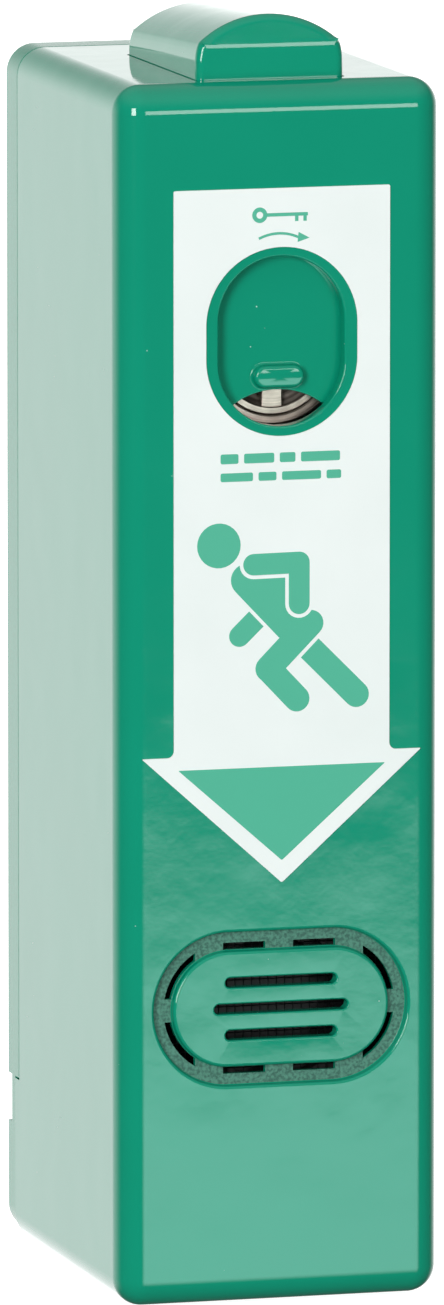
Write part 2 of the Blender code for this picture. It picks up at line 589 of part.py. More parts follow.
def make_rotor():
    """The dished rotor with its upright bar, its tail and the cam that is screwed to it."""
    dish = [(0, 66.3), (4.0, 66.5), (7.4, 67.1), (9.3, 68.1), (9.7, 68.6), (10.3, 68.6)]
    stem = [(10.4, 68.4), (10.4, 64.8), (6.0, 64.8), (6.0, 38.0), (3.0, 38.0), (3.0, 18.3), (0, 18.3)]
    rotor = turned("lock_rotor", dish + stem, (0, 0, LOCK_Z), "front", steps=28)
    bar = block("rotor_bar", (-1.95, 1.95), (65.6, 68.5), (LOCK_Z - 9.9, LOCK_Z + 9.9))
    combine(rotor, [bar], "UNION")
    combine(rotor, [block("keyway", (-0.6, 0.6), (66.6, 70), (LOCK_Z - 3.2, LOCK_Z + 3.2)),
                    rod("tail_hole", 1.6, (17, 27), (0, LOCK_Z), sides=SCREW_SIDES)], "DIFFERENCE")
    place(rotor, LOCK_STEEL, ROTOR)

    angle = math.radians(CAM_REST)
    pin_x = CAM_RADIUS * math.sin(angle)
    pin_z = LOCK_Z + CAM_RADIUS * math.cos(angle)
    cam = rod("cam_lever", 7.4, (15.0, 18.0), (0, LOCK_Z), sides=24)
    combine(cam, [rod("cam_pin", 1.5, (10.5, 15.6), (pin_x, pin_z), sides=16)], "UNION")
    combine(cam, [rod("cam_hole", 1.6, (14, 19), (0, LOCK_Z), sides=SCREW_SIDES)], "DIFFERENCE")
    place(cam, STEEL, ROTOR)
    place(pan_screw("cam_screw", (0, 15.0, LOCK_Z), 11.0, "back"), STEEL, ROTOR)

    slot = stadium("pin_slot", 1.95, 2.9, 63.3, (9, 13), sides=16, centre_x=pin_x)
    slide = block("release_slide", (-21.0, 11.0), (COVER_PLATE[1] + GAP, 12.0),
                  (LOCK_Z - 9.4, LOCK_Z + 9.4))
    place(combine(slide, [slot], "DIFFERENCE"), WHITE, RELEASE)
    magnet = block("release_magnet", (-20, -15), (12.2, 14.4), (LOCK_Z - 2.5, LOCK_Z + 2.5))
    place(magnet, MAGNET, RELEASE)


def make_lock_cover():
    """The sliding window cover with its arched lower edge and grip ridge."""
    cover = block("lock_cover", (-13.8, 13.8), (70.9, 72.1), (COVER_BOTTOM, COVER_TOP))
    ridge = stadium("grip_ridge", 4.45, 1.94, 55.5, (71.5, 74.0), sides=16)
    bevel = ridge.modifiers.new("soft", "BEVEL")
    bevel.width = 0.8 * MM
    bevel.segments = 2
    combine(cover, [rod("arch", 13.6, (70, 73), (0, 53.1 - 13.6), sides=48)], "DIFFERENCE")
    place(combine(cover, [ridge], "UNION"), GREEN, COVER)


# ---------------------------------------------------------------- bumper, bridge and label

def arch_block(name, half_width, depth, low, spring_line, arch):
    """A block with an arched top; its top falls towards the back by BUMPER_SLOPE over its length."""
    radius = (half_width ** 2 + arch ** 2) / (2 * arch)
    half_angle = math.asin(half_width / radius)
    outline = [(-half_width, low)]
    for step in range(9):
        angle = half_angle * (step / 4 - 1)
        outline.append((radius * math.sin(angle), spring_line + arch - radius * (1 - math.cos(angle))))
    outline.append((half_width, low))
    piece = flat_outline(name, outline, depth)
    slope = BUMPER_SLOPE / (BUMPER_FRONT - BUMPER_BACK)
    bm = bmesh.new()
    bm.from_mesh(piece.data)
    bm.transform(piece.matrix_world)
    piece.matrix_world = Matrix.Identity(4)
    for vert in bm.verts:
        if vert.co.z > (low + 1) * MM:
            vert.co.z -= slope * (BUMPER_FRONT * MM + vert.co.y)
    bm.to_mesh(piece.data)
    bm.free()
    return piece


def make_bumper():
    """The arched bumper in the top opening, its pins, clips and springs."""
    spring_line = HALF_HEIGHT + BUMPER_SIDE
    inner_half = BUMPER_HALF - BUMPER_WALL
    bumper = arch_block("top_bumper", BUMPER_HALF, (BUMPER_BACK, BUMPER_FRONT), 102.4, spring_line,
                        BUMPER_ARCH)
    flange = block("bumper_flange", (-15.2, 15.2), (21.2, 69.3), (101.6, 103.6))
    inner_depth = (BUMPER_BACK + BUMPER_WALL, BUMPER_FRONT - BUMPER_WALL)
    hollow = arch_block("bumper_hollow", inner_half, inner_depth, 97.0, spring_line - BUMPER_WALL,
                        BUMPER_ARCH)
    posts = [rod("pin_boss", 4.2, (BOSS_FOOT, 130), (0, depth), axis="Z") for depth in PIN_DEPTHS]
    posts.append(rod("switch_post", 2.0, (98.4, 130), (0, 45.5), axis="Z", sides=SCREW_SIDES))
    combine(hollow, posts, "DIFFERENCE")
    combine(bumper, [flange], "UNION")
    pin_holes = [rod("pin_hole", 2.3, (97, 109.3), (0, depth), axis="Z") for depth in PIN_DEPTHS]
    combine(bumper, [hollow] + pin_holes, "DIFFERENCE")
    place(bumper, GREEN, BUMPER)

    turns, per_turn, wire_radius, coil_radius = 5, 10, 0.45, 3.3
    bottom = BRIDGE_TOP + wire_radius + 0.2
    rise = BOSS_FOOT - 0.2 - wire_radius - bottom
    for word, depth in zip(("rear", "front"), PIN_DEPTHS):
        pin = rod("bumper_pin_" + word, 2.0, (82.5, 109.0), (0, depth), axis="Z")
        place(pin, STEEL, BUMPER)
        place(ring("pin_clip_" + word, 3.6, 2.25, 1.0, (0, depth, 84.6), "up", steps=16), STEEL, BUMPER)
        coil = []
        for step in range(turns * per_turn + 1):
            angle = 2 * math.pi * step / per_turn
            height = bottom + rise * step / (turns * per_turn)
            coil.append((coil_radius * math.cos(angle), depth + coil_radius * math.sin(angle), height))
        place(wire("bumper_spring_" + word, coil, wire_radius, 1), STEEL, BUMPER)


def make_bridge():
    """The steel bridge that carries the springs, its screws and the switch under the bumper."""
    bridge = block("bumper_bridge", (-25, 25), (27, 64), (BRIDGE_TOP - 2, BRIDGE_TOP))
    holes = [rod("pin_way", 2.4, (80, 90), (0, depth), axis="Z") for depth in PIN_DEPTHS]
    for count, side in enumerate((-1, 1), 1):
        holes.append(rod("ledge_way", 1.8, (80, 90), (side * 22.5, 46.0), axis="Z", sides=SCREW_SIDES))
        screw_at = (side * 22.5, 46.0, BRIDGE_TOP)
        place(pan_screw(f"bridge_screw_{count}", screw_at, 8.0, "up"), STEEL, GUARD)
    place(combine(bridge, holes, "DIFFERENCE"), STEEL, GUARD)
    switch = block("press_switch", (-6.4, 6.4), (42.6, 48.4), (BRIDGE_TOP + 0.1, 94.2))
    button = rod("switch_button", 1.2, (93.5, 94.9), (0, 45.5), axis="Z", sides=10)
    place(combine(switch, [button], "UNION"), BLACK, GUARD)


def make_label():
    """The arrow-shaped film label with its cut-out round the window."""
    left = [(-LABEL_HALF, LABEL_TOP), (-LABEL_HALF, SHOULDER_Z), (-ARROW_HALF, SHOULDER_Z)]
    outline = left + [(0, ARROW_TIP)] + [(-x, z) for x, z in reversed(left)]
    label = flat_outline("front_label", outline, (DEPTH + 0.06, DEPTH + 0.26))
    cutout = stadium("label_cutout", CUTOUT_HALF, CUTOUT_TALL, WINDOW_Z, (DEPTH - 1, DEPTH + 2), sides=36)
    place(combine(label, [cutout], "DIFFERENCE"), LABEL_WHITE, GUARD)


make_base_plate()
make_slide_rails()
make_plate_fittings()
make_front_housing()
make_rear_cover()
make_slide_shoes()
make_electronics()
make_sounder()
make_lock()
make_rotor()
make_lock_cover()
make_bumper()
make_bridge()
make_label()
for piece in parts.objects:
    if piece.type == "MESH":
        piece.data.shade_smooth()
        piece.data.set_sharp_from_angle(angle=math.radians(35))
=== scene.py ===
# %% [markdown]
# # An exit door guard, rendered from its CAD frame
#
# The guard is a glossy green alarm block that hangs on a plate under the lever of an escape door.
# The frame holds the working parts at their real size. This script gives the outside its fine
# surface: soft moulded edges, the printed arrow label, the sliding window with the key lock behind
# it, the sounder outlet, and a procedural finish for every part.

# %% Frame and units
import json
import math

import bmesh
import bpy
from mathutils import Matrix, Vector


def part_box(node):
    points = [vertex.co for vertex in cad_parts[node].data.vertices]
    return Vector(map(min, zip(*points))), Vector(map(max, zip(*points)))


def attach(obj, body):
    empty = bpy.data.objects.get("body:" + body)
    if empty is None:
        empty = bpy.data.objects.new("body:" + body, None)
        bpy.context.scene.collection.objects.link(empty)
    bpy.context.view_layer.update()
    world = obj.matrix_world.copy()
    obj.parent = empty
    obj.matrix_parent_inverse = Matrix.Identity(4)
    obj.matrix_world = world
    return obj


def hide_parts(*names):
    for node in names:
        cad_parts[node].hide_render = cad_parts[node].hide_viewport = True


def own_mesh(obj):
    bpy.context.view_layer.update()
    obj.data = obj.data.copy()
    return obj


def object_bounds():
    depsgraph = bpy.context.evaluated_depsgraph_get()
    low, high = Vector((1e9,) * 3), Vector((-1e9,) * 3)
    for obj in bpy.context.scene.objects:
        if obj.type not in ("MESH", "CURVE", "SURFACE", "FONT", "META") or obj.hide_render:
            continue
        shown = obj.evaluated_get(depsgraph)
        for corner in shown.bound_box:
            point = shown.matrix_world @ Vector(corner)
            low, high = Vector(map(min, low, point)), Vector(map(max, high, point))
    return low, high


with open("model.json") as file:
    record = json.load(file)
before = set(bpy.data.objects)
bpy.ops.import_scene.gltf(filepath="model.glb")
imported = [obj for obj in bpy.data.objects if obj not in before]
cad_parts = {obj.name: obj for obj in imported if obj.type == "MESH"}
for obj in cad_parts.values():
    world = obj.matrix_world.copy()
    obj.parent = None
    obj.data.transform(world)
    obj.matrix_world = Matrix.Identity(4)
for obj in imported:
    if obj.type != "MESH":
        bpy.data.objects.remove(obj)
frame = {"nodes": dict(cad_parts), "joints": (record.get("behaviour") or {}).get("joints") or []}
cad_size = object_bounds()
MM = 0.001
SIDES = (-1, 1)


def spot(x, depth, z):
    """A place in metres from millimetres: across, out from the door (the same as -Y), and up."""
    return Vector((x, -depth, z)) * MM


def box_mm(node):
    """A CAD node's box in millimetres, as its (low, high) in x, in depth and in z."""
    low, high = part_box(node)
    return (low.x / MM, high.x / MM), (-high.y / MM, -low.y / MM), (low.z / MM, high.z / MM)


housing_x, housing_depth, housing_z = box_mm("front_housing")
HALF = housing_x[1]
FRONT = housing_depth[1]
TOP = housing_z[1]
print(f"housing: {2 * HALF:.1f} wide, {2 * TOP:.1f} tall, front face {FRONT:.1f} mm from the door")

# %% [markdown]
# ## Camera
#
# A catalogue picture of a slim object is taken from far away with a long lens, so that upright
# edges stay nearly parallel. The camera stands to the object's left, a little above it, and looks
# down by the same small angle at a point near the object's middle.

# %% Camera
CAMERA_YAW = math.radians(15.74)
CAMERA_PITCH = math.radians(8.31)
CAMERA_DISTANCE = 2.683
LOOK_AT = Vector((-0.0001, -0.0375, 0.0024))
SENSOR = 36.0
LENS = 422.9

back_along_view = Vector((
    -math.sin(CAMERA_YAW) * math.cos(CAMERA_PITCH),
    -math.cos(CAMERA_YAW) * math.cos(CAMERA_PITCH),
    math.sin(CAMERA_PITCH),
))
camera_data = bpy.data.cameras.new("camera")
camera_data.sensor_width = SENSOR
camera_data.lens = LENS
camera_data.clip_start = 0.1
camera_data.clip_end = 100.0
camera = bpy.data.objects.new("camera", camera_data)
camera.location = LOOK_AT + back_along_view * CAMERA_DISTANCE
camera.rotation_euler = back_along_view.to_track_quat("Z", "Y").to_euler()
bpy.context.scene.collection.objects.link(camera)
bpy.context.scene.camera = camera
print("camera at", [round(value, 3) for value in camera.location])

# %% [markdown]
# ## Helpers for modelling
#
# Blender's operators act on whatever is selected, and the frame arrives selected. So each helper
# first clears the selection, then works on one piece. Edges and faces are picked by where they
# are or which way they face, as a person would click on them.

# %% Selecting
def only(piece):
    """Object mode, with this piece alone selected and active."""
    if bpy.context.mode != "OBJECT":
        bpy.ops.object.mode_set(mode="OBJECT")
    bpy.ops.object.select_all(action="DESELECT")
    if piece is not None:
        piece.select_set(True)
        bpy.context.view_layer.objects.active = piece


def choose(piece, kind, test):
    """Edit mode, with the vertices, edges or faces (kind) that pass the test selected."""
    only(piece)
    bpy.ops.object.mode_set(mode="EDIT")
    bpy.ops.mesh.select_mode(type=kind)
    bpy.ops.mesh.select_all(action="DESELECT")
    mesh = bmesh.from_edit_mesh(piece.data)
    for item in {"VERT": mesh.verts, "EDGE": mesh.edges, "FACE": mesh.faces}[kind]:
        if test(item):
            item.select_set(True)
    bmesh.update_edit_mesh(piece.data)


def everything(item):
    """A test that every part of a piece passes."""
    return True


def along(edge, axis):
    """Whether an edge runs along x, y or z (0, 1 or 2)."""
    run = edge.verts[1].co - edge.verts[0].co
    return abs(run[axis]) > 0.999 * run.length


# %% Names and blocks
def named_as(piece, name):
    """Gives a piece and its mesh one name."""
    piece.name = name
    piece.data.name = name
    return piece


def named(name):
    """Names the object that an operator has just added."""
    return named_as(bpy.context.object, name)


def block(name, x, depth, z):
    """A box from its (low, high) in x, depth and z."""
    low, high = spot(x[0], depth[1], z[0]), spot(x[1], depth[0], z[1])
    only(None)
    bpy.ops.mesh.primitive_cube_add(size=1, location=(low + high) / 2, scale=high - low)
    bpy.ops.object.transform_apply(location=True, rotation=True, scale=True)
    return named(name)


# %% Outsides and soft edges
def face_outwards(piece):
    """Turns every face of a closed piece outwards, also on a very thin one."""
    choose(piece, "FACE", everything)
    bpy.ops.mesh.normals_make_consistent(inside=False)
    if bmesh.from_edit_mesh(piece.data).calc_volume(signed=True) < 0:
        bpy.ops.mesh.flip_normals()
    only(piece)
    return piece


def soften(piece, test, radius, segments=4):
    """Rounds the edges that pass the test."""
    choose(piece, "EDGE", test)
    bpy.ops.mesh.bevel(offset=radius * MM, segments=segments, profile=0.5, affect="EDGES")
    only(piece)


# %% Turned and stretched shapes
def turned(name, profile, centre, steps=64, axis="Y"):
    """Spins a closed loop of (radius, place along the axis) about the axis through the centre.

    The centre is (x, z) for an axis along Y, and (x, depth) for one along Z. The first row of
    vertices stands half a step off x, so that no vertex lies on either middle line.
    """
    only(None)
    bpy.ops.mesh.primitive_circle_add(vertices=len(profile), radius=MM, location=(0, 0, 0))
    piece = named(name)
    start = math.pi / steps
    for vert, (radius, place) in zip(piece.data.vertices, profile):
        out, side = radius * math.cos(start), radius * math.sin(start)
        if axis == "Y":
            vert.co = spot(centre[0] + out, place, centre[1] + side)
        else:
            vert.co = spot(centre[0] + out, centre[1] - side, place)
    middle = spot(centre[0], 0, centre[1]) if axis == "Y" else spot(centre[0], centre[1], 0)
    choose(piece, "EDGE", everything)
    bpy.ops.mesh.spin(steps=steps, angle=2 * math.pi, center=middle,
                      axis=(0, 1, 0) if axis == "Y" else (0, 0, 1))
    bpy.ops.mesh.select_all(action="SELECT")
    bpy.ops.mesh.remove_doubles(threshold=1e-6)
    bpy.ops.mesh.delete_loose(use_verts=True, use_edges=True)
    return face_outwards(piece)


def stretch(piece, centre, x=0.0, z=0.0):
    """Pulls the halves of a round piece apart by x and z to each side, which makes it oblong."""
    for side in SIDES:
        if x:
            choose(piece, "VERT", lambda vert: side * (vert.co.x - centre[0] * MM) > 0)
            bpy.ops.transform.translate(value=(side * x * MM, 0, 0))
        if z:
            choose(piece, "VERT", lambda vert: side * (vert.co.z - centre[1] * MM) > 0)
            bpy.ops.transform.translate(value=(0, 0, side * z * MM))
    only(piece)
    return piece


# %% Flat shapes
def plate(name, outline, depth):
    """A flat piece cut to an outline of (x, z) points, as thick as its (low, high) depth."""
    only(None)
    bpy.ops.mesh.primitive_circle_add(vertices=len(outline), radius=MM, fill_type="NGON",
                                      location=(0, 0, 0))
    piece = named(name)
    for vert, (x, z) in zip(piece.data.vertices, outline):
        vert.co = spot(x, depth[0], z)
    choose(piece, "FACE", everything)
    bpy.ops.mesh.extrude_region_move(
        TRANSFORM_OT_translate={"value": (0, -(depth[1] - depth[0]) * MM, 0)})
    return face_outwards(piece)


def arc(centre, radius, start, end, count):
    """Points along an arc of a circle, in degrees from the first axis towards the second."""
    angles = [math.radians(start + (end - start) * step / (count - 1)) for step in range(count)]
    return [(centre[0] + radius * math.cos(a), centre[1] + radius * math.sin(a)) for a in angles]


# %% [markdown]
# Shapes are joined and cut with Boolean modifiers. Knife cuts by hand would give cleaner faces, but
# a Boolean keeps each cutter a plain shape that a reader can picture. Where two cuts nearly meet it
# leaves slivers a few micrometres long. They are welded, and the pinholes that this opens are
# filled, so that every piece stays closed.

# %% Joining and cutting
WELD = 4e-6
SLIVER = 2e-6
PINHOLE_EDGES = 4


def combine(piece, tools, operation="DIFFERENCE"):
    """Cuts tools out of a piece, or joins them to it with UNION, and removes the tools."""
    for tool in tools:
        modifier = piece.modifiers.new(tool.name, "BOOLEAN")
        modifier.operation = operation
        modifier.object = tool
        only(piece)
        bpy.ops.object.modifier_apply(modifier=modifier.name)
        bpy.data.objects.remove(tool, do_unlink=True)
    choose(piece, "EDGE", everything)
    bpy.ops.mesh.remove_doubles(threshold=WELD)
    bpy.ops.mesh.dissolve_degenerate(threshold=SLIVER)
    bpy.ops.mesh.fill_holes(sides=PINHOLE_EDGES)
    only(piece)
    return piece


# %% [markdown]
# A finished piece is shaded smooth up to a limit angle. Flat faces between rounded edges would
# still look dented, so a Weighted Normal modifier lets the large faces decide. Then the piece gets
# its finish and the body that it moves with, and the CAD nodes that it stands for are hidden.

# %% Finishing a piece
def second_finish(piece, finish, test):
    """Gives a piece's second material to the faces that pass the test."""
    piece.data.materials.append(finish)
    choose(piece, "FACE", test)
    piece.active_material_index = 1
    bpy.ops.object.material_slot_assign()
    only(piece)


def finish_piece(piece, finish, body, stands_for=(), angle=32):
    """Smooth shading that keeps flats flat, then the piece's finish and body; its CAD nodes are
    hidden.
    """
    only(piece)
    bpy.ops.object.shade_smooth_by_angle(angle=math.radians(angle))
    weighted = piece.modifiers.new("flats", "WEIGHTED_NORMAL")
    weighted.keep_sharp = True
    bpy.ops.object.modifier_apply(modifier=weighted.name)
    if not piece.data.materials:
        piece.data.materials.append(finish)
    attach(piece, body)
    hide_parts(*stands_for)
    print(f"{piece.name}: {len(piece.data.polygons)} faces, on {body}")
    return piece


# %% [markdown]
# ## Node helper and colour
#
# Colours are written as sRGB hex values, as they are read off a colour chart, and one function
# turns them into the linear numbers that a shader needs. Nodes could be set up one by one, with a
# line for each socket. One small function that takes the settings and the links keeps a finish
# short enough to read in one go.

# %% Colour and nodes
def colour(hex_value):
    """An sRGB hex colour as linear RGBA."""
    channels = [int(hex_value[i:i + 2], 16) / 255 for i in (1, 3, 5)]
    linear = [c / 12.92 if c <= 0.04045 else ((c + 0.055) / 1.055) ** 2.4 for c in channels]
    return (*linear, 1.0)


def add(tree, kind, settings=None, links=None):
    """Adds a node. Settings go on its properties or sockets, links join outputs to its inputs."""
    node = tree.nodes.new("ShaderNode" + kind)
    for key, value in (settings or {}).items():
        if isinstance(key, str) and hasattr(node, key):
            setattr(node, key, value)
        else:
            node.inputs[key].default_value = value
    for key, source in (links or {}).items():
        tree.links.new(source, node.inputs[key])
    return node


def new_finish(name, base, roughness, **sockets):
    """A Principled material with its constant values on the shader's own sockets."""
    finish = bpy.data.materials.new(name)
    finish.use_nodes = True
    tree = finish.node_tree
    shader = tree.nodes["Principled BSDF"]
    shader.inputs["Base Color"].default_value = colour(base)
    shader.inputs["Roughness"].default_value = roughness
    for socket, value in sockets.items():
        shader.inputs[socket.replace("_", " ")].default_value = value
    finish.diffuse_color = colour(base)
    return finish, tree, shader


def per_mm(size):
    """The texture scale that repeats about once every size millimetres on Object coordinates."""
    return 1.0 / (size * MM)


def place_of(tree):
    """The Object coordinates of a piece, which are metres in the guard's own frame."""
    return add(tree, "TexCoord").outputs["Object"]


# %% What the finishes share
def two_colours(tree, shader, first, second, share):
    """Colours a finish between two hex colours; a share of 0 gives the first and 1 the second."""
    mixed = add(tree, "MixRGB", {"Color1": colour(first), "Color2": colour(second)}, {"Fac": share})
    tree.links.new(mixed.outputs["Color"], shader.inputs["Base Color"])


def uneven_gloss(tree, shader, low, high, share):
    """Lets the roughness of a finish go from low to high with a share from 0 to 1."""
    rough = add(tree, "MapRange", {"To Min": low, "To Max": high}, {"Value": share})
    tree.links.new(rough.outputs["Result"], shader.inputs["Roughness"])


def raised(tree, shader, height, share, under=None):
    """Raises the surface by a height in mm times a share, over the relief that lies under it."""
    links = {"Height": share} if under is None else {"Height": share, "Normal": under}
    bump = add(tree, "Bump", {"Strength": 1.0, "Distance": height * MM}, links)
    tree.links.new(bump.outputs["Normal"], shader.inputs["Normal"])
    return bump.outputs["Normal"]


def surface_relief(tree, shader, layers, place):
    """Raises (cell size in mm, height in mm, detail) layers of noise, coarse to fine."""
    normal = None
    for cell, height, detail in layers:
        noise = add(tree, "TexNoise", {"Scale": per_mm(cell), "Detail": detail, "Roughness": 0.5},
                    {"Vector": place})
        normal = raised(tree, shader, height, noise.outputs["Fac"], normal)


# %% [markdown]
# ## Glossy green ABS
#
# The housing, the bumper and the window cover are injection moulded from coloured ABS in a
# polished tool. That gives a mirror-like skin (IOR about 1.5, roughness under 0.1) with three
# small faults that the eye reads as real plastic: a slow waviness where the wall shrank, a finer
# orange peel, and a few grains of dust that stick to the charged surface. One flat colour with a
# low roughness would look like paint on glass, so the waves are two layers of noise as bumps, and
# the dust is the middle of Voronoi cells, kept to the patches where a second noise is bright.

# %% Green ABS
GREEN = "#089A7A"
GREEN_SHADE = "#069474"
DUST = "#BFE3D8"
GLOSSY = 0.05
CLOUD_SIZE = 26
DUST_SPACING = 4.5
DUSTY_PATCH = 17


def green_abs(name, relief):
    """Moulded green ABS: two close greens in slow clouds, dust specks and a wavy gloss skin."""
    finish, tree, shader = new_finish(name, GREEN, GLOSSY, IOR=1.5)
    place = place_of(tree)
    clouds = add(tree, "TexNoise", {"Scale": per_mm(CLOUD_SIZE), "Detail": 2.0}, {"Vector": place})
    greens = add(tree, "MixRGB", {"Color1": colour(GREEN_SHADE), "Color2": colour(GREEN)},
                 {"Fac": clouds.outputs["Fac"]})
    grains = add(tree, "TexVoronoi", {"Scale": per_mm(DUST_SPACING), "Randomness": 1.0},
                 {"Vector": place})
    dot = add(tree, "MapRange", {"From Min": 0.032, "From Max": 0.022},
              {"Value": grains.outputs["Distance"]})
    where = add(tree, "TexNoise", {"Scale": per_mm(DUSTY_PATCH), "Detail": 1.0}, {"Vector": place})
    dusty = add(tree, "MapRange", {"From Min": 0.50, "From Max": 0.60},
                {"Value": where.outputs["Fac"]})
    speck = add(tree, "Math", {"operation": "MULTIPLY"},
                {0: dot.outputs["Result"], 1: dusty.outputs["Result"]})
    mixed = add(tree, "MixRGB", {"Color2": colour(DUST)},
                {"Fac": speck.outputs["Value"], "Color1": greens.outputs["Color"]})
    tree.links.new(mixed.outputs["Color"], shader.inputs["Base Color"])
    gloss = add(tree, "MapRange", {"To Min": GLOSSY - 0.015, "To Max": GLOSSY + 0.015},
                {"Value": clouds.outputs["Fac"]})
    rough = add(tree, "Math", {"operation": "MAXIMUM"},
                {0: gloss.outputs["Result"], 1: speck.outputs["Value"]})
    tree.links.new(rough.outputs["Value"], shader.inputs["Roughness"])
    surface_relief(tree, shader, relief, place)
    return finish


housing_green = green_abs("moulded_abs_green", [(14.0, 0.05, 1.0), (2.8, 0.006, 2.0)])
cover_green = green_abs("moulded_abs_green_cover", [(9.0, 0.04, 1.0), (1.8, 0.005, 2.0)])
print("glossy ABS in", GREEN, "on the housing and on its small mouldings")

# %% [markdown]
# The floor of the outlet groove comes from a part of the tool that was left spark eroded, so it
# is matt and slightly grainy. The mounting plate and the rear cover are the same plastic from a
# tool with a satin finish. A picture of leather grain could be laid over them, but noise at the
# grain's real size stays sharp from every side. The eroded grain is 0.55 mm, which is coarser than
# a real one, so that it shows.

# %% Eroded and satin green
def grained_green(name, light, dark, roughness, grain, height):
    """Green ABS with a matt grain: the cell size and height of the grain are in millimetres."""
    finish, tree, shader = new_finish(name, light, roughness, IOR=1.5)
    place = place_of(tree)
    grains = add(tree, "TexNoise", {"Scale": per_mm(grain), "Detail": 3.0}, {"Vector": place})
    tint = add(tree, "MapRange", {"From Min": 0.38, "From Max": 0.62},
               {"Value": grains.outputs["Fac"]})
    two_colours(tree, shader, dark, light, tint.outputs["Result"])
    surface_relief(tree, shader, [(grain, height, 3.0)], place)
    return finish


eroded_green = grained_green("spark_eroded_abs_green", "#4D8A76", "#2C6152", 0.55, 0.55, 0.06)
satin_green = grained_green("satin_abs_green", "#0C9676", "#0A9070", 0.24, 0.8, 0.002)

# %% [markdown]
# ## Printed film
#
# The label is white polyester film with a satin face, cut to shape and stuck on. Its green areas
# are screen printed, in a slightly raised and paler green than the housing's. Film and ink share one
# function, because both look alike but for their colour: they mirror the room as a soft sheen, lie
# in slow waves over the glue, and are duller where hands have rubbed them.

# %% Label film and ink
def printed_film(name, base, shade, roughness):
    """Satin film: almost one colour, with faint clouds, fine grain and rubbed patches."""
    finish, tree, shader = new_finish(name, base, roughness, IOR=1.5)
    place = place_of(tree)
    clouds = add(tree, "TexNoise", {"Scale": per_mm(18), "Detail": 3.0}, {"Vector": place})
    two_colours(tree, shader, base, shade, clouds.outputs["Fac"])
    uneven_gloss(tree, shader, roughness - 0.06, roughness + 0.08, clouds.outputs["Fac"])
    surface_relief(tree, shader, [(30.0, 0.03, 0.0), (0.5, 0.0008, 2.0)], place)
    return finish


white_film = printed_film("white_polyester_film", "#F4F7F5", "#EAF0ED", 0.34)
green_ink = printed_film("screen_ink_green", "#34AC8A", "#3CB190", 0.34)

# %% [markdown]
# ## Metals
#
# The lock's face was turned on a lathe and nickel plated, so fine rings run round it and its
# colour is a warm grey. The hidden sheet parts are zinc plated and brushed along one way, and the
# springs are drawn wire. A metal keeps the default IOR: its look comes from base colour,
# roughness and the direction of its scratches. An anisotropic shader could draw the rings too, but
# it needs tangents that a Boolean leaves untidy. So the rings are noise along the distance from the
# lock's axis. They are wider apart than real tool marks, because those are too fine to show.

# %% Metal finishes
def turned_nickel(name, base, dark, roughness, centre, ring_pitch):
    """Plated and turned metal: rings about the axis through centre (x, z in mm)."""
    finish, tree, shader = new_finish(name, base, roughness, Metallic=1.0)
    shift = add(tree, "Mapping", {"Location": (-centre[0] * MM, 0, -centre[1] * MM)},
                {"Vector": place_of(tree)})
    parts = add(tree, "SeparateXYZ", links={"Vector": shift.outputs["Vector"]})
    flat = add(tree, "CombineXYZ", links={"X": parts.outputs["X"], "Y": parts.outputs["Z"]})
    radius = add(tree, "VectorMath", {"operation": "LENGTH"}, {0: flat.outputs["Vector"]})
    rings = add(tree, "TexNoise",
                {"noise_dimensions": "1D", "Scale": per_mm(ring_pitch), "Detail": 4.0},
                {"W": radius.outputs["Value"]})
    stains = add(tree, "TexNoise", {"Scale": per_mm(3), "Detail": 4.0},
                 {"Vector": shift.outputs["Vector"]})
    blend = add(tree, "Math", {"operation": "MULTIPLY"},
                {0: rings.outputs["Fac"], 1: stains.outputs["Fac"]})
    tint = add(tree, "MapRange", {"From Min": 0.15, "From Max": 0.40},
               {"Value": blend.outputs["Value"]})
    two_colours(tree, shader, dark, base, tint.outputs["Result"])
    uneven_gloss(tree, shader, roughness - 0.10, roughness + 0.12, rings.outputs["Fac"])
    raised(tree, shader, 0.004, rings.outputs["Fac"])
    return finish


def brushed_metal(name, base, dark, roughness, brush):
    """Sheet or wire metal; its scratches are long where the brush (x, y, z) scale is small."""
    finish, tree, shader = new_finish(name, base, roughness, Metallic=1.0)
    place = add(tree, "Mapping", {"Scale": brush}, {"Vector": place_of(tree)}).outputs["Vector"]
    lines = add(tree, "TexNoise", {"Scale": per_mm(0.6), "Detail": 4.0}, {"Vector": place})
    tint = add(tree, "MapRange", {"From Min": 0.3, "From Max": 0.7}, {"Value": lines.outputs["Fac"]})
    two_colours(tree, shader, dark, base, tint.outputs["Result"])
    uneven_gloss(tree, shader, roughness - 0.08, roughness + 0.12, lines.outputs["Fac"])
    raised(tree, shader, 0.003, lines.outputs["Fac"])
    return finish


# %% The metals of the lock, sheets, screws, springs and magnets
joints = {joint["name"]: joint for joint in frame["joints"]}
lock_z = joints["reset_turn"]["pos_m"][2] / MM
EVEN = (1.0, 1.0, 1.0)
UPRIGHT = (1.0, 1.0, 0.08)
lock_nickel = turned_nickel("turned_nickel_plate", "#CDBFB3", "#9D9086", 0.42, (0, lock_z), 0.35)
lock_dish = turned_nickel("turned_nickel_plate_dark", "#A79E94", "#6E665E", 0.5, (0, lock_z), 0.6)
zinc_sheet = brushed_metal("zinc_plated_sheet", "#C8CBCE", "#9FA3A8", 0.34, UPRIGHT)
zinc_screw = brushed_metal("zinc_plated_screw", "#D0D0CC", "#9C9C98", 0.30, EVEN)
spring_wire = brushed_metal("drawn_spring_wire", "#AEB0B4", "#7C7F84", 0.28, EVEN)
magnet_plate = brushed_metal("bright_nickel_magnet", "#D8D4CC", "#BDB8AE", 0.16, EVEN)
mesh_steel = brushed_metal("blackened_steel_mesh", "#3A3C3E", "#242628", 0.45, EVEN)
print(f"the rings of the lock run round the axis at z = {lock_z:.1f} mm")

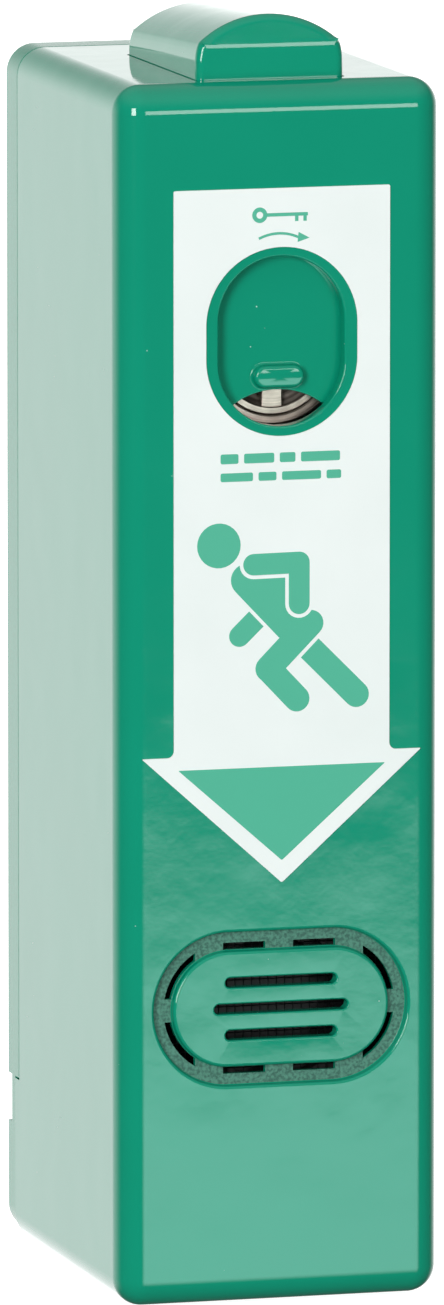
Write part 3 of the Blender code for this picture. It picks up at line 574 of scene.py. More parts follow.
# %% [markdown]
# ## Hidden plastics, rubber, laminate and wire
#
# These sit inside, and show when the guard is slid down its plate or taken apart. Each has the
# grain and gloss of its own process: moulded nylon and acetal, cut rubber, and a printed circuit
# laminate whose weave shows through the solder resist. One function serves all the plain ones, with
# the size and height of the grain as its values. The laminate has its own, because a weave is two
# sets of waves across each other and not a grain.

# %% Plain materials with grain
def grained(name, base, dark, roughness, cell, height, **sockets):
    """A non-metal with a fine two-tone grain; cell and height are in millimetres."""
    finish, tree, shader = new_finish(name, base, roughness, **sockets)
    place = place_of(tree)
    noise = add(tree, "TexNoise", {"Scale": per_mm(cell), "Detail": 4.0}, {"Vector": place})
    two_colours(tree, shader, dark, base, noise.outputs["Fac"])
    uneven_gloss(tree, shader, roughness - 0.05, roughness + 0.10, noise.outputs["Fac"])
    surface_relief(tree, shader, [(cell, height, 3.0)], place)
    return finish


def laminate(name):
    """Green solder resist over a fine glass cloth, with copper tracks round cells of about 5 mm."""
    finish, tree, shader = new_finish(name, "#1C6B3A", 0.32, IOR=1.55)
    place = place_of(tree)
    weave = add(tree, "TexWave", {"Scale": per_mm(4.0), "bands_direction": "X"}, {"Vector": place})
    across = add(tree, "TexWave", {"Scale": per_mm(4.0), "bands_direction": "Z"}, {"Vector": place})
    cloth = add(tree, "Math", {"operation": "MULTIPLY"},
                {0: weave.outputs["Fac"], 1: across.outputs["Fac"]})
    resist = add(tree, "MixRGB", {"Color1": colour("#185C33"), "Color2": colour("#237A44")},
                 {"Fac": cloth.outputs["Value"]})
    cells = add(tree, "TexVoronoi", {"feature": "DISTANCE_TO_EDGE", "distance": "MANHATTAN",
                                     "Scale": per_mm(5.0)}, {"Vector": place})
    track = add(tree, "MapRange", {"From Min": 0.10, "From Max": 0.07},
                {"Value": cells.outputs["Distance"]})
    mixed = add(tree, "MixRGB", {"Color2": colour("#2F9456")},
                {"Fac": track.outputs["Result"], "Color1": resist.outputs["Color"]})
    tree.links.new(mixed.outputs["Color"], shader.inputs["Base Color"])
    raised(tree, shader, 0.02, track.outputs["Result"])
    return finish


# %% The plain materials
acetal = grained("moulded_acetal_white", "#ECEBE4", "#E2E0D6", 0.38, 2.0, 0.004, IOR=1.48)
black_nylon = grained("moulded_nylon_black", "#1B1C1E", "#121314", 0.42, 0.5, 0.008, IOR=1.53)
black_rubber = grained("cut_rubber_black", "#191919", "#0E0E0E", 0.78, 0.3, 0.02, IOR=1.52)
battery_sleeve = grained("battery_sleeve", "#2A3038", "#1E232A", 0.26, 6.0, 0.01, IOR=1.5)
board_laminate = laminate("circuit_laminate")
reed_glass = grained("reed_switch_glass", "#B7CDBF", "#9DB8A8", 0.06, 2.0, 0.001, IOR=1.52,
                     Transmission_Weight=0.6)
red_pvc = grained("red_pvc_wire", "#B3231F", "#941A18", 0.36, 1.0, 0.004, IOR=1.54)
black_pvc = grained("black_pvc_wire", "#17181A", "#0F1011", 0.36, 1.0, 0.004, IOR=1.54)
print(len(bpy.data.materials), "materials so far")

# %% [markdown]
# ## Front housing
#
# The housing is a five-sided moulded box. It could be modelled face by face, with its openings as
# loops in the mesh, but it is made as a toolmaker would think of it: a block with its back open,
# every outer edge rounded to 5 mm, given a 2.5 mm wall, and then cut. The cutters for the window
# and the groove flare out where they meet the face, so that each opening gets the small rounded
# lip that catches the light.

# %% Housing shell
EDGE_RADIUS = 5.0
WALL = 2.5
RIM_BACK = 7.7
SKIRT_TOP = -77.2

housing = block("guard_front_housing", housing_x, housing_depth, housing_z)
choose(housing, "FACE", lambda face: face.normal.y > 0.9)
bpy.ops.mesh.delete(type="FACE")
soften(housing, lambda edge: not edge.is_boundary, EDGE_RADIUS, segments=10)
wall = housing.modifiers.new("wall", "SOLIDIFY")
wall.thickness = WALL * MM
wall.offset = -1
wall.use_even_offset = True
only(housing)
bpy.ops.object.modifier_apply(modifier=wall.name)

# %% Bosses, ribs and rails inside the housing
INNER = HALF - WALL
ROOT = FRONT - WALL + 1.0
BOSS_X, BOSS_Z = 21.5, 97.0
BRACKET_X = 20.5
SOUNDER_APART = 21.5
BRIDGE_X, BRIDGE_DEPTH = 22.5, 46.0
SCREW_HOLE = 1.6
outlet_z = sum(box_mm("sounder_gasket")[2]) / 2
cover_x, cover_depth, cover_z = box_mm("lock_cover")


def rod(name, radius, span, centre, axis="Y", steps=24):
    """A plain round cutter or boss, which is always joined to a piece or cut from it."""
    profile = [(0, span[1]), (radius, span[1]), (radius, span[0]), (0, span[0])]
    return turned(name, profile, centre, steps, axis)


def outward(side, near, far):
    """The (low, high) in x of something from near to far on one side."""
    return tuple(sorted((side * near, side * far)))


inside = []
for side in SIDES:
    for z in (-BOSS_Z, BOSS_Z):
        inside.append(rod("corner_boss", 3.4, (10.0, ROOT), (side * BOSS_X, z)))
        inside.append(block("corner_rib", outward(side, BOSS_X, INNER + 1), (10.4, ROOT - 0.3),
                            (z - 0.8, z + 0.8)))
    inside.append(rod("bracket_boss", 3.2, (62.3, ROOT), (side * BRACKET_X, lock_z)))
    inside.append(rod("sounder_boss", 2.8, (66.0, ROOT), (0, outlet_z + side * SOUNDER_APART)))
    inside.append(block("bridge_ledge", outward(side, 19.5, INNER + 1), (41, 51), (76, 85.7)))
    inside.append(block("cover_rail", outward(side, 14.2, 16.4), (69.8, ROOT), (37, 98)))
    inside.append(block("cover_lip", outward(side, 12.9, 14.6), (69.8, 70.5), (37.3, 97.7)))
    inside.append(block("cover_stop", outward(side, 12.5, 14.8), (70.2, ROOT - 0.2),
                        (46.5, cover_z[0] - 0.3)))
combine(housing, inside, "UNION")
print(len(inside), "bosses, ribs and rails joined to the shell")


# %% Window tool
WINDOW_HALF = 11.3
WINDOW_TALL = 14.75
WINDOW_Z = 61.8
LIP = 0.35
BEFORE = FRONT + 1


def lip_profile(radius, lip, outwards=1):
    """The rounded lip where an opening of this radius meets the front face, surface first."""
    edge = arc((radius + outwards * lip, FRONT - lip), lip, 98, 180, 6)
    if outwards < 0:
        edge = [(2 * (radius - lip) - across, up) for across, up in edge]
    return edge


window_profile = [(0, BEFORE), (WINDOW_HALF + LIP + 0.1, BEFORE)]
window_profile += lip_profile(WINDOW_HALF, LIP) + [(WINDOW_HALF, 70.9), (0, 70.9)]
window_centre = (0, WINDOW_Z)
window_tool = turned("window_tool", window_profile, window_centre, steps=96)
stretch(window_tool, window_centre, z=WINDOW_TALL - WINDOW_HALF)

# %% Groove and louvre tools
GROOVE_HALF = 22.8
GROOVE_TALL = 13.5
GROOVE_WIDTH = 3.4
GROOVE_DEEP = 1.4
GROOVE_LIP = 0.6
GROOVE_FILLET = 0.35
LOUVRE_HALF = 0.9
LOUVRE_LIP = 0.4
LOUVRE_PITCH = 4.6
BEHIND_WALL = 71.0

outlet_centre = (0, outlet_z)
groove_inner = GROOVE_TALL - GROOVE_WIDTH
groove_floor = FRONT - GROOVE_DEEP
fillet = groove_floor + GROOVE_FILLET
groove_profile = [(GROOVE_TALL + GROOVE_LIP + 0.1, BEFORE)]
groove_profile += lip_profile(GROOVE_TALL, GROOVE_LIP)
groove_profile += arc((GROOVE_TALL - GROOVE_FILLET, fillet), GROOVE_FILLET, 0, -90, 4)
groove_profile += arc((groove_inner + GROOVE_FILLET, fillet), GROOVE_FILLET, -90, -180, 4)
groove_profile += lip_profile(groove_inner, GROOVE_LIP, outwards=-1)[::-1]
groove_profile += [(groove_inner - GROOVE_LIP - 0.1, BEFORE)]
groove_tool = turned("groove_tool", groove_profile, outlet_centre, steps=96)
stretch(groove_tool, outlet_centre, x=GROOVE_HALF - GROOVE_TALL)
openings = [window_tool, groove_tool]
for row in (-1, 0, 1):
    reach = 10.0 if row else 12.0
    centre = (0, outlet_z + LOUVRE_PITCH * row)
    louvre_profile = [(0, BEFORE), (LOUVRE_HALF + LOUVRE_LIP + 0.05, BEFORE)]
    louvre_profile += lip_profile(LOUVRE_HALF, LOUVRE_LIP)
    louvre_profile += [(LOUVRE_HALF, BEHIND_WALL), (0, BEHIND_WALL)]
    louvre = turned("louvre_tool", louvre_profile, centre, steps=24)
    openings.append(stretch(louvre, centre, x=reach - LOUVRE_HALF))
combine(housing, openings)

# %% Slots in the groove
SLOT_WIDTH = 1.2
slot_radius = GROOVE_TALL - 2.0
slots = turned("slot_tool", [(slot_radius, 74.5), (slot_radius, BEHIND_WALL),
                             (slot_radius - SLOT_WIDTH, BEHIND_WALL),
                             (slot_radius - SLOT_WIDTH, 74.5)], outlet_centre, steps=96)
stretch(slots, outlet_centre, x=GROOVE_HALF - GROOVE_TALL)
bridges = [block("slot_bridge", (x - 2.5, x + 2.5), (70, 78), (outlet_z - 20, outlet_z + 20))
           for x in (-12.6, 0.0, 12.6)]
bridges.append(block("slot_bridge", (-30, 30), (70, 78), (outlet_z - 2, outlet_z + 2)))
combine(slots, bridges)
combine(housing, [slots])

# %% Rim, top opening and screw holes
bumper_x, bumper_depth = box_mm("top_bumper")[:2]
BUMPER_HALF = 13.2
BUMPER_BACK = 23.0
BUMPER_FRONT = 68.0
GAP = 0.3
opening = block("top_opening", (-BUMPER_HALF - GAP, BUMPER_HALF + GAP),
                (BUMPER_BACK - GAP, BUMPER_FRONT + GAP), (95, TOP + 4))
soften(opening, lambda edge: along(edge, 2), 1.3)
trims = [opening, block("rim_trim", (-40, 40), (0, RIM_BACK), (SKIRT_TOP, TOP + 10))]
for side in SIDES:
    for z in (-BOSS_Z, BOSS_Z):
        trims.append(rod("boss_hole", SCREW_HOLE, (9, 24), (side * BOSS_X, z)))
    trims.append(rod("bracket_hole", SCREW_HOLE, (61, 70.6), (side * BRACKET_X, lock_z)))
    trims.append(rod("sounder_hole", SCREW_HOLE, (65, BEHIND_WALL),
                     (0, outlet_z + side * SOUNDER_APART)))
    trims.append(rod("bridge_hole", SCREW_HOLE, (79, 87), (side * BRIDGE_X, BRIDGE_DEPTH), axis="Z"))
combine(housing, trims)


# %% Housing finish
def on_groove_floor(face):
    """Whether a face looks forwards and lies on the floor of the groove."""
    middle = face.calc_center_median() / MM
    near = abs(-middle.y - groove_floor) < 0.3 and abs(middle.z - outlet_z) < GROOVE_TALL + 2.5
    return face.normal.y < -0.8 and near


housing.data.materials.append(housing_green)
second_finish(housing, eroded_green, on_groove_floor)
finish_piece(housing, housing_green, "guard", ["front_housing"])

# %% [markdown]
# ## Top bumper
#
# The lever handle pushes on this arched block. Seen from the front it is a low arch on two
# straight sides. Its front face is upright up to the foot of the arch and leans back above it, and
# its crown falls towards the door. It could be a solid of three bisected planes, but the soft edges
# come out best on a plain extruded arch. So the edges are rounded first. Then three cuts across the
# bend give the front the rows that it needs to lean back, and the crown is sloped last.

# %% Bumper
BUMPER_SIDE = TOP + 5.8
BUMPER_ARCH = 5.4
BUMPER_SLOPE = 2.2
BUMPER_WALL = 2.0
BUMPER_FOOT = 102.4
LEAN = math.tan(math.radians(9))
BEND = 0.35


def arch_outline(half, low, spring_line, rise, count):
    """An outline with a flat foot, upright sides and a circular arch on top."""
    radius = (half ** 2 + rise ** 2) / (2 * rise)
    half_angle = math.degrees(math.asin(half / radius))
    crown = arc((0, spring_line + rise - radius), radius, 90 + half_angle, 90 - half_angle, count)
    return [(-half, low)] + crown + [(half, low)]


def sloped(piece, low):
    """Lets all but the foot of a piece fall towards the door."""
    fall = BUMPER_SLOPE / (BUMPER_FRONT - BUMPER_BACK)
    for vert in piece.data.vertices:
        if vert.co.z > (low + 1) * MM:
            vert.co.z -= fall * (BUMPER_FRONT * MM + vert.co.y)


def leaned(above):
    """How far the front lies back at a height above the spring line. The bend is slightly round."""
    if above < -BEND:
        return 0.0
    if above > BEND:
        return above * LEAN
    return LEAN * (above + BEND) ** 2 / (4 * BEND)


def round_the_face(edge):
    """The edges round the front and back faces, without the foot."""
    foot = max(vert.co.z for vert in edge.verts) < (BUMPER_FOOT + 0.1) * MM
    return not foot and not along(edge, 1) and edge.calc_face_angle(0) > math.radians(40)


def shoulder(edge):
    """The two edges where the straight sides meet the arch."""
    above_foot = edge.verts[0].co.z > (BUMPER_FOOT + 2) * MM
    return above_foot and along(edge, 1) and edge.calc_face_angle(0) > math.radians(25)


# %% Bumper's outside
bumper = plate("guard_top_bumper",
               arch_outline(BUMPER_HALF, BUMPER_FOOT, BUMPER_SIDE, BUMPER_ARCH, 25),
               (BUMPER_BACK, BUMPER_FRONT))
soften(bumper, shoulder, 2.6, segments=6)
soften(bumper, round_the_face, 1.4, segments=6)
for height in (-BEND, 0, BEND):
    choose(bumper, "FACE", everything)
    bpy.ops.mesh.bisect(plane_co=spot(0, BUMPER_FRONT, BUMPER_SIDE + height), plane_no=(0, 0, 1))
only(bumper)
for vert in bumper.data.vertices:
    if -vert.co.y > (BUMPER_FRONT - 3) * MM:
        vert.co.y += leaned(vert.co.z / MM - BUMPER_SIDE) * MM
sloped(bumper, BUMPER_FOOT)
flange = block("bumper_flange", bumper_x, bumper_depth, (101.6, 103.6))
combine(bumper, [flange], "UNION")

# %% Bumper's hollow, pin bosses and switch post
HOLLOW_FOOT = 97.0
hollow = plate("bumper_hollow",
               arch_outline(BUMPER_HALF - BUMPER_WALL, HOLLOW_FOOT, BUMPER_SIDE - BUMPER_WALL,
                            BUMPER_ARCH, 13),
               (BUMPER_BACK + BUMPER_WALL, BUMPER_FRONT - BUMPER_WALL))
sloped(hollow, HOLLOW_FOOT)
posts, pin_holes = [], []
for pin in ("bumper_pin_rear", "bumper_pin_front"):
    depth = sum(box_mm(pin)[1]) / 2
    posts.append(rod("pin_boss", 4.2, (99.8, 130), (0, depth), axis="Z"))
    pin_holes.append(rod("pin_hole", 2.3, (97, 109.3), (0, depth), axis="Z"))
posts.append(rod("switch_post", 2.0, (98.4, 130), (0, 45.5), axis="Z"))
combine(hollow, posts)
combine(bumper, [hollow] + pin_holes)
finish_piece(bumper, cover_green, "bumper", ["top_bumper"])

# %% [markdown]
# ## Mounting plate
#
# The plate screws to the door and carries the two rails. Its front is mostly pocket: a wide slot
# that the guard's shoes run in, a shallow step for the rails and one for the catch. The foot and
# the lower sides step back so that the housing's skirt can pass over them. Extruding each step
# would do, but pockets that are cut from a block, with corners as a milling cutter leaves them, can
# be moved one by one. Long slots near the sides save plastic, as on a real moulding.

# %% Mounting plate
plate_x, plate_depth, plate_z = box_mm("base_plate")
PLATE_FACE = plate_depth[1]
PAST = PLATE_FACE + 1.6
RAIL_X, RAIL_SCREWS = 15.8, (55, -80)
DOOR_X, DOOR_SCREWS = 23.8, (90, -62)
CATCH_Z = 81

mount = block("guard_base_plate", plate_x, plate_depth, plate_z)
soften(mount, lambda edge: along(edge, 1), EDGE_RADIUS, segments=10)
soften(mount, lambda edge: min(-vert.co.y for vert in edge.verts) > (PLATE_FACE - 0.1) * MM,
       0.5, segments=3)


def pocket(x, depth, z, corner):
    """A cutter for a pocket with four corners as a milling cutter leaves them."""
    tool = block("pocket", x, depth, z)
    soften(tool, lambda edge: along(edge, 1), corner, segments=5)
    return tool


cuts = [
    pocket((-12.3, 12.3), (2.0, PAST), (-97.0, 66.0), 3.0),
    pocket((-19.3, 19.3), (5.4, PAST), (-97.5, 70.3), 2.0),
    pocket((-9.3, 9.3), (5.1, PAST), (73.7, 88.3), 2.0),
    block("foot_step", (-40, 40), (4.6, PAST), (-120, -101)),
    pocket((-16, 16), (-1, 5), (92, 101.5), 1.5),
    rod("magnet_recess", 2.8, (4.0, PAST), (23.6, 30)),
    rod("armature_hole", SCREW_HOLE, (0.9, 6), (0, CATCH_Z)),
]
for side in SIDES:
    cuts.append(block("side_step", outward(side, 26.2, 40), (4.6, PAST), (-120, -76.9)))
    cuts.append(block("pry_notch", outward(side, 26.4, 40), (-1, 2.4), (-85.5, -76.9)))
    for low, high in ((-50, -10), (-5, 20), (40, 78)):
        cuts.append(pocket(outward(side, 21.2, 26.4), (-1, 5), (low, high), 1.5))
    for z in RAIL_SCREWS:
        cuts.append(rod("rail_screw_hole", SCREW_HOLE, (0.9, 6), (side * RAIL_X, z)))
    for z in DOOR_SCREWS:
        sunk = [(0, PAST), (3.5, PAST), (3.5, PLATE_FACE - 0.2), (SCREW_HOLE, PLATE_FACE - 2.1),
                (SCREW_HOLE, -1), (0, -1)]
        cuts.append(turned("door_screw_hole", sunk, (side * DOOR_X, z), steps=24))
combine(mount, cuts)
finish_piece(mount, satin_green, "base", ["base_plate"])

# %% [markdown]
# ## Window cover
#
# A thin shutter behind the window hides the lock. A round bite out of its foot clears the lock's
# ring, and a raised oblong ridge takes the fingernail that slides it up. The ridge could be pushed
# up out of the shutter with an inset and a move, but its section is what the eye reads: a flat
# crown, round shoulders and a soft foot. So it is spun from that section and pulled oblong.

# %% Window cover
RIDGE_RADIUS = 1.94
RIDGE_HALF = 4.45
RIDGE_TOP = 74.0
RIDGE_Z = 55.5
RIDGE_SOFT = 0.65
RIDGE_FOOT = 0.5
COVER_FACE = 72.1
RIDGE_ROOT = COVER_FACE - 0.5


def upper_corner(edge):
    """The two upper corners of the shutter."""
    return along(edge, 1) and min(vert.co.z for vert in edge.verts) > (cover_z[1] - 0.1) * MM


def front_edge(edge):
    """The sharp edges round the shutter's front face."""
    in_front = min(-vert.co.y for vert in edge.verts) > (COVER_FACE - 0.1) * MM
    return in_front and not along(edge, 1) and edge.calc_face_angle(0) > math.radians(50)


cover = block("guard_lock_cover", cover_x, (cover_depth[0], COVER_FACE), cover_z)
soften(cover, upper_corner, 1.2)
combine(cover, [rod("lock_bite", 13.6, (69, 74), (0, 39.5), steps=96)])
soften(cover, front_edge, 0.2, segments=3)
ridge_profile = [(0, RIDGE_TOP)]
ridge_profile += arc((RIDGE_RADIUS - RIDGE_SOFT, RIDGE_TOP - RIDGE_SOFT), RIDGE_SOFT, 90, 0, 6)
ridge_profile += arc((RIDGE_RADIUS + RIDGE_FOOT, COVER_FACE + RIDGE_FOOT), RIDGE_FOOT, 180, 265, 5)
ridge_profile += [(RIDGE_RADIUS + RIDGE_FOOT, RIDGE_ROOT), (0, RIDGE_ROOT)]
ridge = turned("grip_ridge", ridge_profile, (0, RIDGE_Z), steps=48)
stretch(ridge, (0, RIDGE_Z), x=RIDGE_HALF - RIDGE_RADIUS)
combine(cover, [ridge], "UNION")
finish_piece(cover, cover_green, "cover", ["lock_cover"])

# %% [markdown]
# ## Key lock
#
# A turned body with a flange behind the window, and a rotor with a dished face. The raised bar
# across the dish shows which way the lock is turned and carries the key slot. Both are turned
# parts, so both are spun from half of their section, as a lathe would make them. Stacked cylinders
# would need their joints hidden. The hollow of the dish is duller than its rim, so it has a finish
# of its own.

# %% Lock body and rotor
lock_centre = (0, lock_z)
body_profile = [(12.0, 69.6), (12.3, 69.3), (12.3, 62.3), (10.0, 62.3), (10.0, 40.0), (6.3, 40.0),
                (6.3, 64.5), (10.75, 64.5), (10.75, 69.4), (10.95, 69.6)]
lock = turned("guard_lock_body", body_profile, lock_centre, steps=96)
finish_piece(lock, lock_nickel, "guard", ["lock_body"])

rotor_profile = [(0, 66.3), (4, 66.5), (7.4, 67.1), (9.0, 67.9), (9.3, 68.3), (9.35, 69.3),
                 (9.5, 69.4), (10.4, 69.4), (10.5, 69.3), (10.5, 64.8), (6, 64.8), (6, 38), (3, 38),
                 (3, 18.3), (0, 18.3)]
rotor = turned("guard_lock_rotor", rotor_profile, lock_centre, steps=96)
bar = block("rotor_bar", (-1.95, 1.95), (65.6, 68.9), (lock_z - 9.8, lock_z + 9.8))
soften(bar, lambda edge: min(-vert.co.y for vert in edge.verts) > 68.8 * MM, 0.35, segments=3)
combine(rotor, [bar], "UNION")
keyway = block("keyway", (-0.6, 0.6), (66.6, 70), (lock_z - 3.2, lock_z + 3.2))
tail = rod("tail_hole", SCREW_HOLE, (17, 27), lock_centre)
combine(rotor, [keyway, tail])


def in_the_dish(face):
    """Whether a face lies in the hollow of the rotor, beside the bar."""
    middle = face.calc_center_median() / MM
    away = math.hypot(middle.x, middle.z - lock_z)
    on_the_bar = abs(middle.x) < 2 and -middle.y > 67.4
    return 64.9 < -middle.y < 69.2 and away < 9.36 and not on_the_bar


# %% Two finishes on the rotor
rotor.data.materials.append(lock_nickel)
second_finish(rotor, lock_dish, in_the_dish)
finish_piece(rotor, lock_nickel, "rotor", ["lock_rotor"])

# %% [markdown]
# ## Label
#
# White film cut as a broad arrow that points down, with an oblong hole round the window. The ink
# lies on it as plates a few hundredths of a millimetre thick: a triangle in the arrow's head, a
# running figure, and round the lock a turn arrow, a key sign and two lines of plain dashes. A print
# could also be a pattern in the film's material, but as thin plates its edges stay sharp at every
# size and its thickness catches light, as screen ink does.

# %% Label film
film_x, film_depth, film_z = box_mm("front_label")
FILM_HALF = 19.35
FILM_SHOULDER = -9.95
HOLE_HALF = 13.55
HOLE_TALL = 16.4

film_outline = [(-FILM_HALF, film_z[1]), (-FILM_HALF, FILM_SHOULDER), (film_x[0], FILM_SHOULDER),
                (0, film_z[0]), (film_x[1], FILM_SHOULDER), (FILM_HALF, FILM_SHOULDER),
                (FILM_HALF, film_z[1])]
film = plate("guard_front_label", film_outline, film_depth)


def in_a_shoulder(edge):
    """The two inner corners where the arrow's head leaves its shaft."""
    middle = (edge.verts[0].co + edge.verts[1].co) / 2 / MM
    return along(edge, 1) and abs(abs(middle.x) - FILM_HALF) < 0.1 and middle.z < 0


soften(film, in_a_shoulder, 1.2, segments=6)
soften(film, lambda edge: along(edge, 1) and edge.calc_face_angle(0) > math.radians(35),
       0.3, segments=3)
hole = rod("window_hole", HOLE_HALF, (film_depth[0] - 1, film_depth[1] + 1), window_centre,
           steps=96)
stretch(hole, window_centre, z=HOLE_TALL - HOLE_HALF)
combine(film, [hole])
finish_piece(film, white_film, "guard", ["front_label"])

# %% Shapes of the printed signs
INK = (film_depth[1] - 0.02, film_depth[1] + 0.03)
THROUGH = (INK[0] - 0.5, INK[1] + 0.5)
LIMB_GAP = 0.65


def limb(start, end, radius, depth=INK):
    """A straight limb with round ends."""
    heading = math.degrees(math.atan2(end[1] - start[1], end[0] - start[0]))
    outline = arc(start, radius, heading + 270, heading + 90, 14)
    outline += arc(end, radius, heading + 90, heading - 90, 14)
    return plate("limb", outline, depth)


def disc(centre, radius, depth=INK, corners=30):
    """A round plate, cut to so many corners."""
    return plate("disc", arc(centre, radius, 360, 360 / corners, corners), depth)


def bar_of_ink(x, z):
    """An upright rectangle from its (low, high) in x and in z."""
    return plate("bar", [(x[0], z[1]), (x[1], z[1]), (x[1], z[0]), (x[0], z[0])], INK)


def ink(name, parts):
    """Joins the plates of one sign and prints it."""
    sign = named_as(parts[0], name)
    combine(sign, parts[1:], "UNION")
    return finish_piece(sign, green_ink, "guard")


# %% [markdown]
# The figure is drawn as a child draws with thick sticks: a disc for the head and round-ended limbs
# between joints. Where one limb passes another, the nearer one is also cut out of the further one,
# a little wider, which leaves the white line that keeps them apart.

# %% Running figure
HEAD, HEAD_RADIUS = (-11.3, 26.7), 3.9
ARM, THIGH, CALF = 1.87, 2.3, 2.25
SHOULDER_JOINT, ELBOW, HAND = (-5.07, 23.2), (3.1, 23.3), (3.1, 16.15)
FAR_ELBOW, FAR_HAND = (-4.0, 14.3), (-7.6, 10.85)
HIP, KNEE, FOOT = (5.15, 12.65), (-2.45, 5.0), (2.7, -0.45)
REAR_HIP, REAR_FOOT = (4.0, 9.3), (13.4, -0.1)
TORSO = [(-8.35, 18.6), (-6.3, 22.6), (-4.5, 23.3), (3.1, 22.0), (3.1, 16.0), (5.0, 15.0),
         (6.9, 13.5), (5.15, 12.65), (-0.5, 10.3)]

near_arm = [limb(SHOULDER_JOINT, ELBOW, ARM), limb(ELBOW, HAND, ARM)]
trunk = plate("torso", TORSO, INK)
combine(trunk, [disc((-6.3, 20.6), 2.85), limb(HIP, KNEE, THIGH)], "UNION")
combine(trunk, [limb(SHOULDER_JOINT, ELBOW, ARM + LIMB_GAP, THROUGH),
                limb(ELBOW, HAND, ARM + LIMB_GAP, THROUGH)])
rear_leg = limb(REAR_HIP, REAR_FOOT, CALF)
combine(rear_leg, [limb(HIP, KNEE, THIGH + LIMB_GAP, THROUGH)])
far_arm = limb(FAR_ELBOW, FAR_HAND, ARM)
along_torso = Vector((0.69, -0.72)) * 20
across_torso = Vector((0.72, 0.69))
clear = Vector(TORSO[0]) - across_torso * LIMB_GAP
far_side = clear + across_torso * 20
corners = [clear - along_torso, clear + along_torso, far_side + along_torso, far_side - along_torso]
combine(far_arm, [plate("clear_of_torso", [tuple(corner) for corner in corners], THROUGH)])
ink("print_figure_head", [disc(HEAD, HEAD_RADIUS)])
ink("print_figure_arm", near_arm)
ink("print_figure_body", [trunk, limb(KNEE, FOOT, CALF)])
ink("print_figure_rear_leg", [rear_leg])
ink("print_figure_far_arm", [far_arm])

# %% Triangle, turn arrow, key and dashes
triangle = plate("print_triangle", [(-18.6, -12.2), (18.6, -12.2), (0, -28.6)], INK)
soften(triangle, lambda edge: along(edge, 1), 0.25, segments=3)
finish_piece(triangle, green_ink, "guard")

TURN_CENTRE = (-0.55, 72.3)
TURN_RADIUS = 8.26
TURN_LINE = 0.45
outer_edge = arc(TURN_CENTRE, TURN_RADIUS + TURN_LINE / 2, 116, 65, 14)
inner_edge = arc(TURN_CENTRE, TURN_RADIUS - TURN_LINE / 2, 65, 116, 14)
arrow_head = [(2.95, 80.7), (4.9, 79.65), (2.75, 78.95)]
ink("print_turn_arrow", [plate("turn_line", outer_edge + inner_edge, INK),
                         plate("turn_head", arrow_head, INK)])

KEY_Z = 83.8
KEY_BOW = (-4.0, KEY_Z)
bow = combine(disc(KEY_BOW, 1.35), [disc(KEY_BOW, 0.6, THROUGH, corners=24)])
shank = bar_of_ink((-2.9, 4.6), (KEY_Z - 0.3, KEY_Z + 0.3))
teeth = [bar_of_ink((x, x + 0.6), (KEY_Z - 1.2, KEY_Z)) for x in (2.3, 3.8)]
ink("print_key", [bow, shank] + teeth)

DASH_START = -11.0
DASH_GAP = 1.0
for z, tall, lengths in ((41.7, 1.7, (3.2, 5.4, 2.8, 7.0)), (38.5, 1.5, (5.8, 3.2, 7.0, 2.6))):
    start = DASH_START
    for number, length in enumerate(lengths, 1):
        dash = named_as(bar_of_ink((start, start + length), (z - tall / 2, z + tall / 2)),
                        f"print_dash_{int(z)}_{number}")
        soften(dash, lambda edge: along(edge, 1), 0.3, segments=3)
        finish_piece(dash, green_ink, "guard")
        start += length + DASH_GAP

# %% [markdown]
# ## Outlet mesh
#
# Crimped wire cloth behind the slots keeps dust off the sounder. Real cloth is two sets of bent
# wires, and each could be swept along its own curve. At this size a simpler way looks the same: a
# grid is bent up and down at alternate crossings, and a Wireframe modifier turns its edges to wires.

# %% Outlet mesh
mesh_x, mesh_depth, mesh_z = box_mm("grille_mesh")
MESH_PITCH = 1.5
MESH_WIRE = 0.3
MESH_CRIMP = 0.06
mesh_middle = sum(mesh_depth) / 2
mesh_wide, mesh_tall = mesh_x[1] - mesh_x[0] - MESH_WIRE, mesh_z[1] - mesh_z[0] - MESH_WIRE
columns, rows = round(mesh_wide / MESH_PITCH), round(mesh_tall / MESH_PITCH)
print(f"outlet mesh: {columns} by {rows} openings")

only(None)
bpy.ops.mesh.primitive_grid_add(x_subdivisions=columns, y_subdivisions=rows, size=1)
cloth = named("guard_grille_mesh")
for number, vert in enumerate(cloth.data.vertices):
    column, row = number % (columns + 1), number // (columns + 1)
    crimp = MESH_CRIMP if (column + row) % 2 else -MESH_CRIMP
    vert.co = spot(vert.co.x * mesh_wide, mesh_middle + crimp,
                   sum(mesh_z) / 2 + vert.co.y * mesh_tall)
wires = cloth.modifiers.new("wires", "WIREFRAME")
wires.thickness = MESH_WIRE * MM
wires.use_even_offset = False
wires.use_boundary = True
only(cloth)
bpy.ops.object.modifier_apply(modifier=wires.name)
face_outwards(cloth)
finish_piece(cloth, mesh_steel, "guard", ["grille_mesh"])

# %% [markdown]
# ## Screws
#
# Two kinds of cross-head screw, each modelled once for a length and then copied: a flat head for
# countersunk holes and a pan head for flat faces. A true thread is a helix, which the Screw modifier
# could sweep. Here it is a row of rings that is spun with the rest of the screw, because the
# difference can't be seen inside a hole and the mesh stays closed. The cross recess is cut by two
# tapered blades.

# %% Screws
THREAD_PITCH = 0.9
THREAD_DEEP = 0.22


def threaded(head, core, length):
    """A screw's closed profile as (radius, place): the head, then thread rings to a short point."""
    profile = [(0, head[0][1])] + head
    place = head[-1][1] - 0.5
    while place - THREAD_PITCH > -length + 1.2:
        profile += [(core - THREAD_DEEP, place), (core, place - THREAD_PITCH * 0.5),
                    (core - THREAD_DEEP, place - THREAD_PITCH * 0.9)]
        place -= THREAD_PITCH
    return profile + [(core - THREAD_DEEP, -length + 1.0), (0.5, -length), (0, -length)]


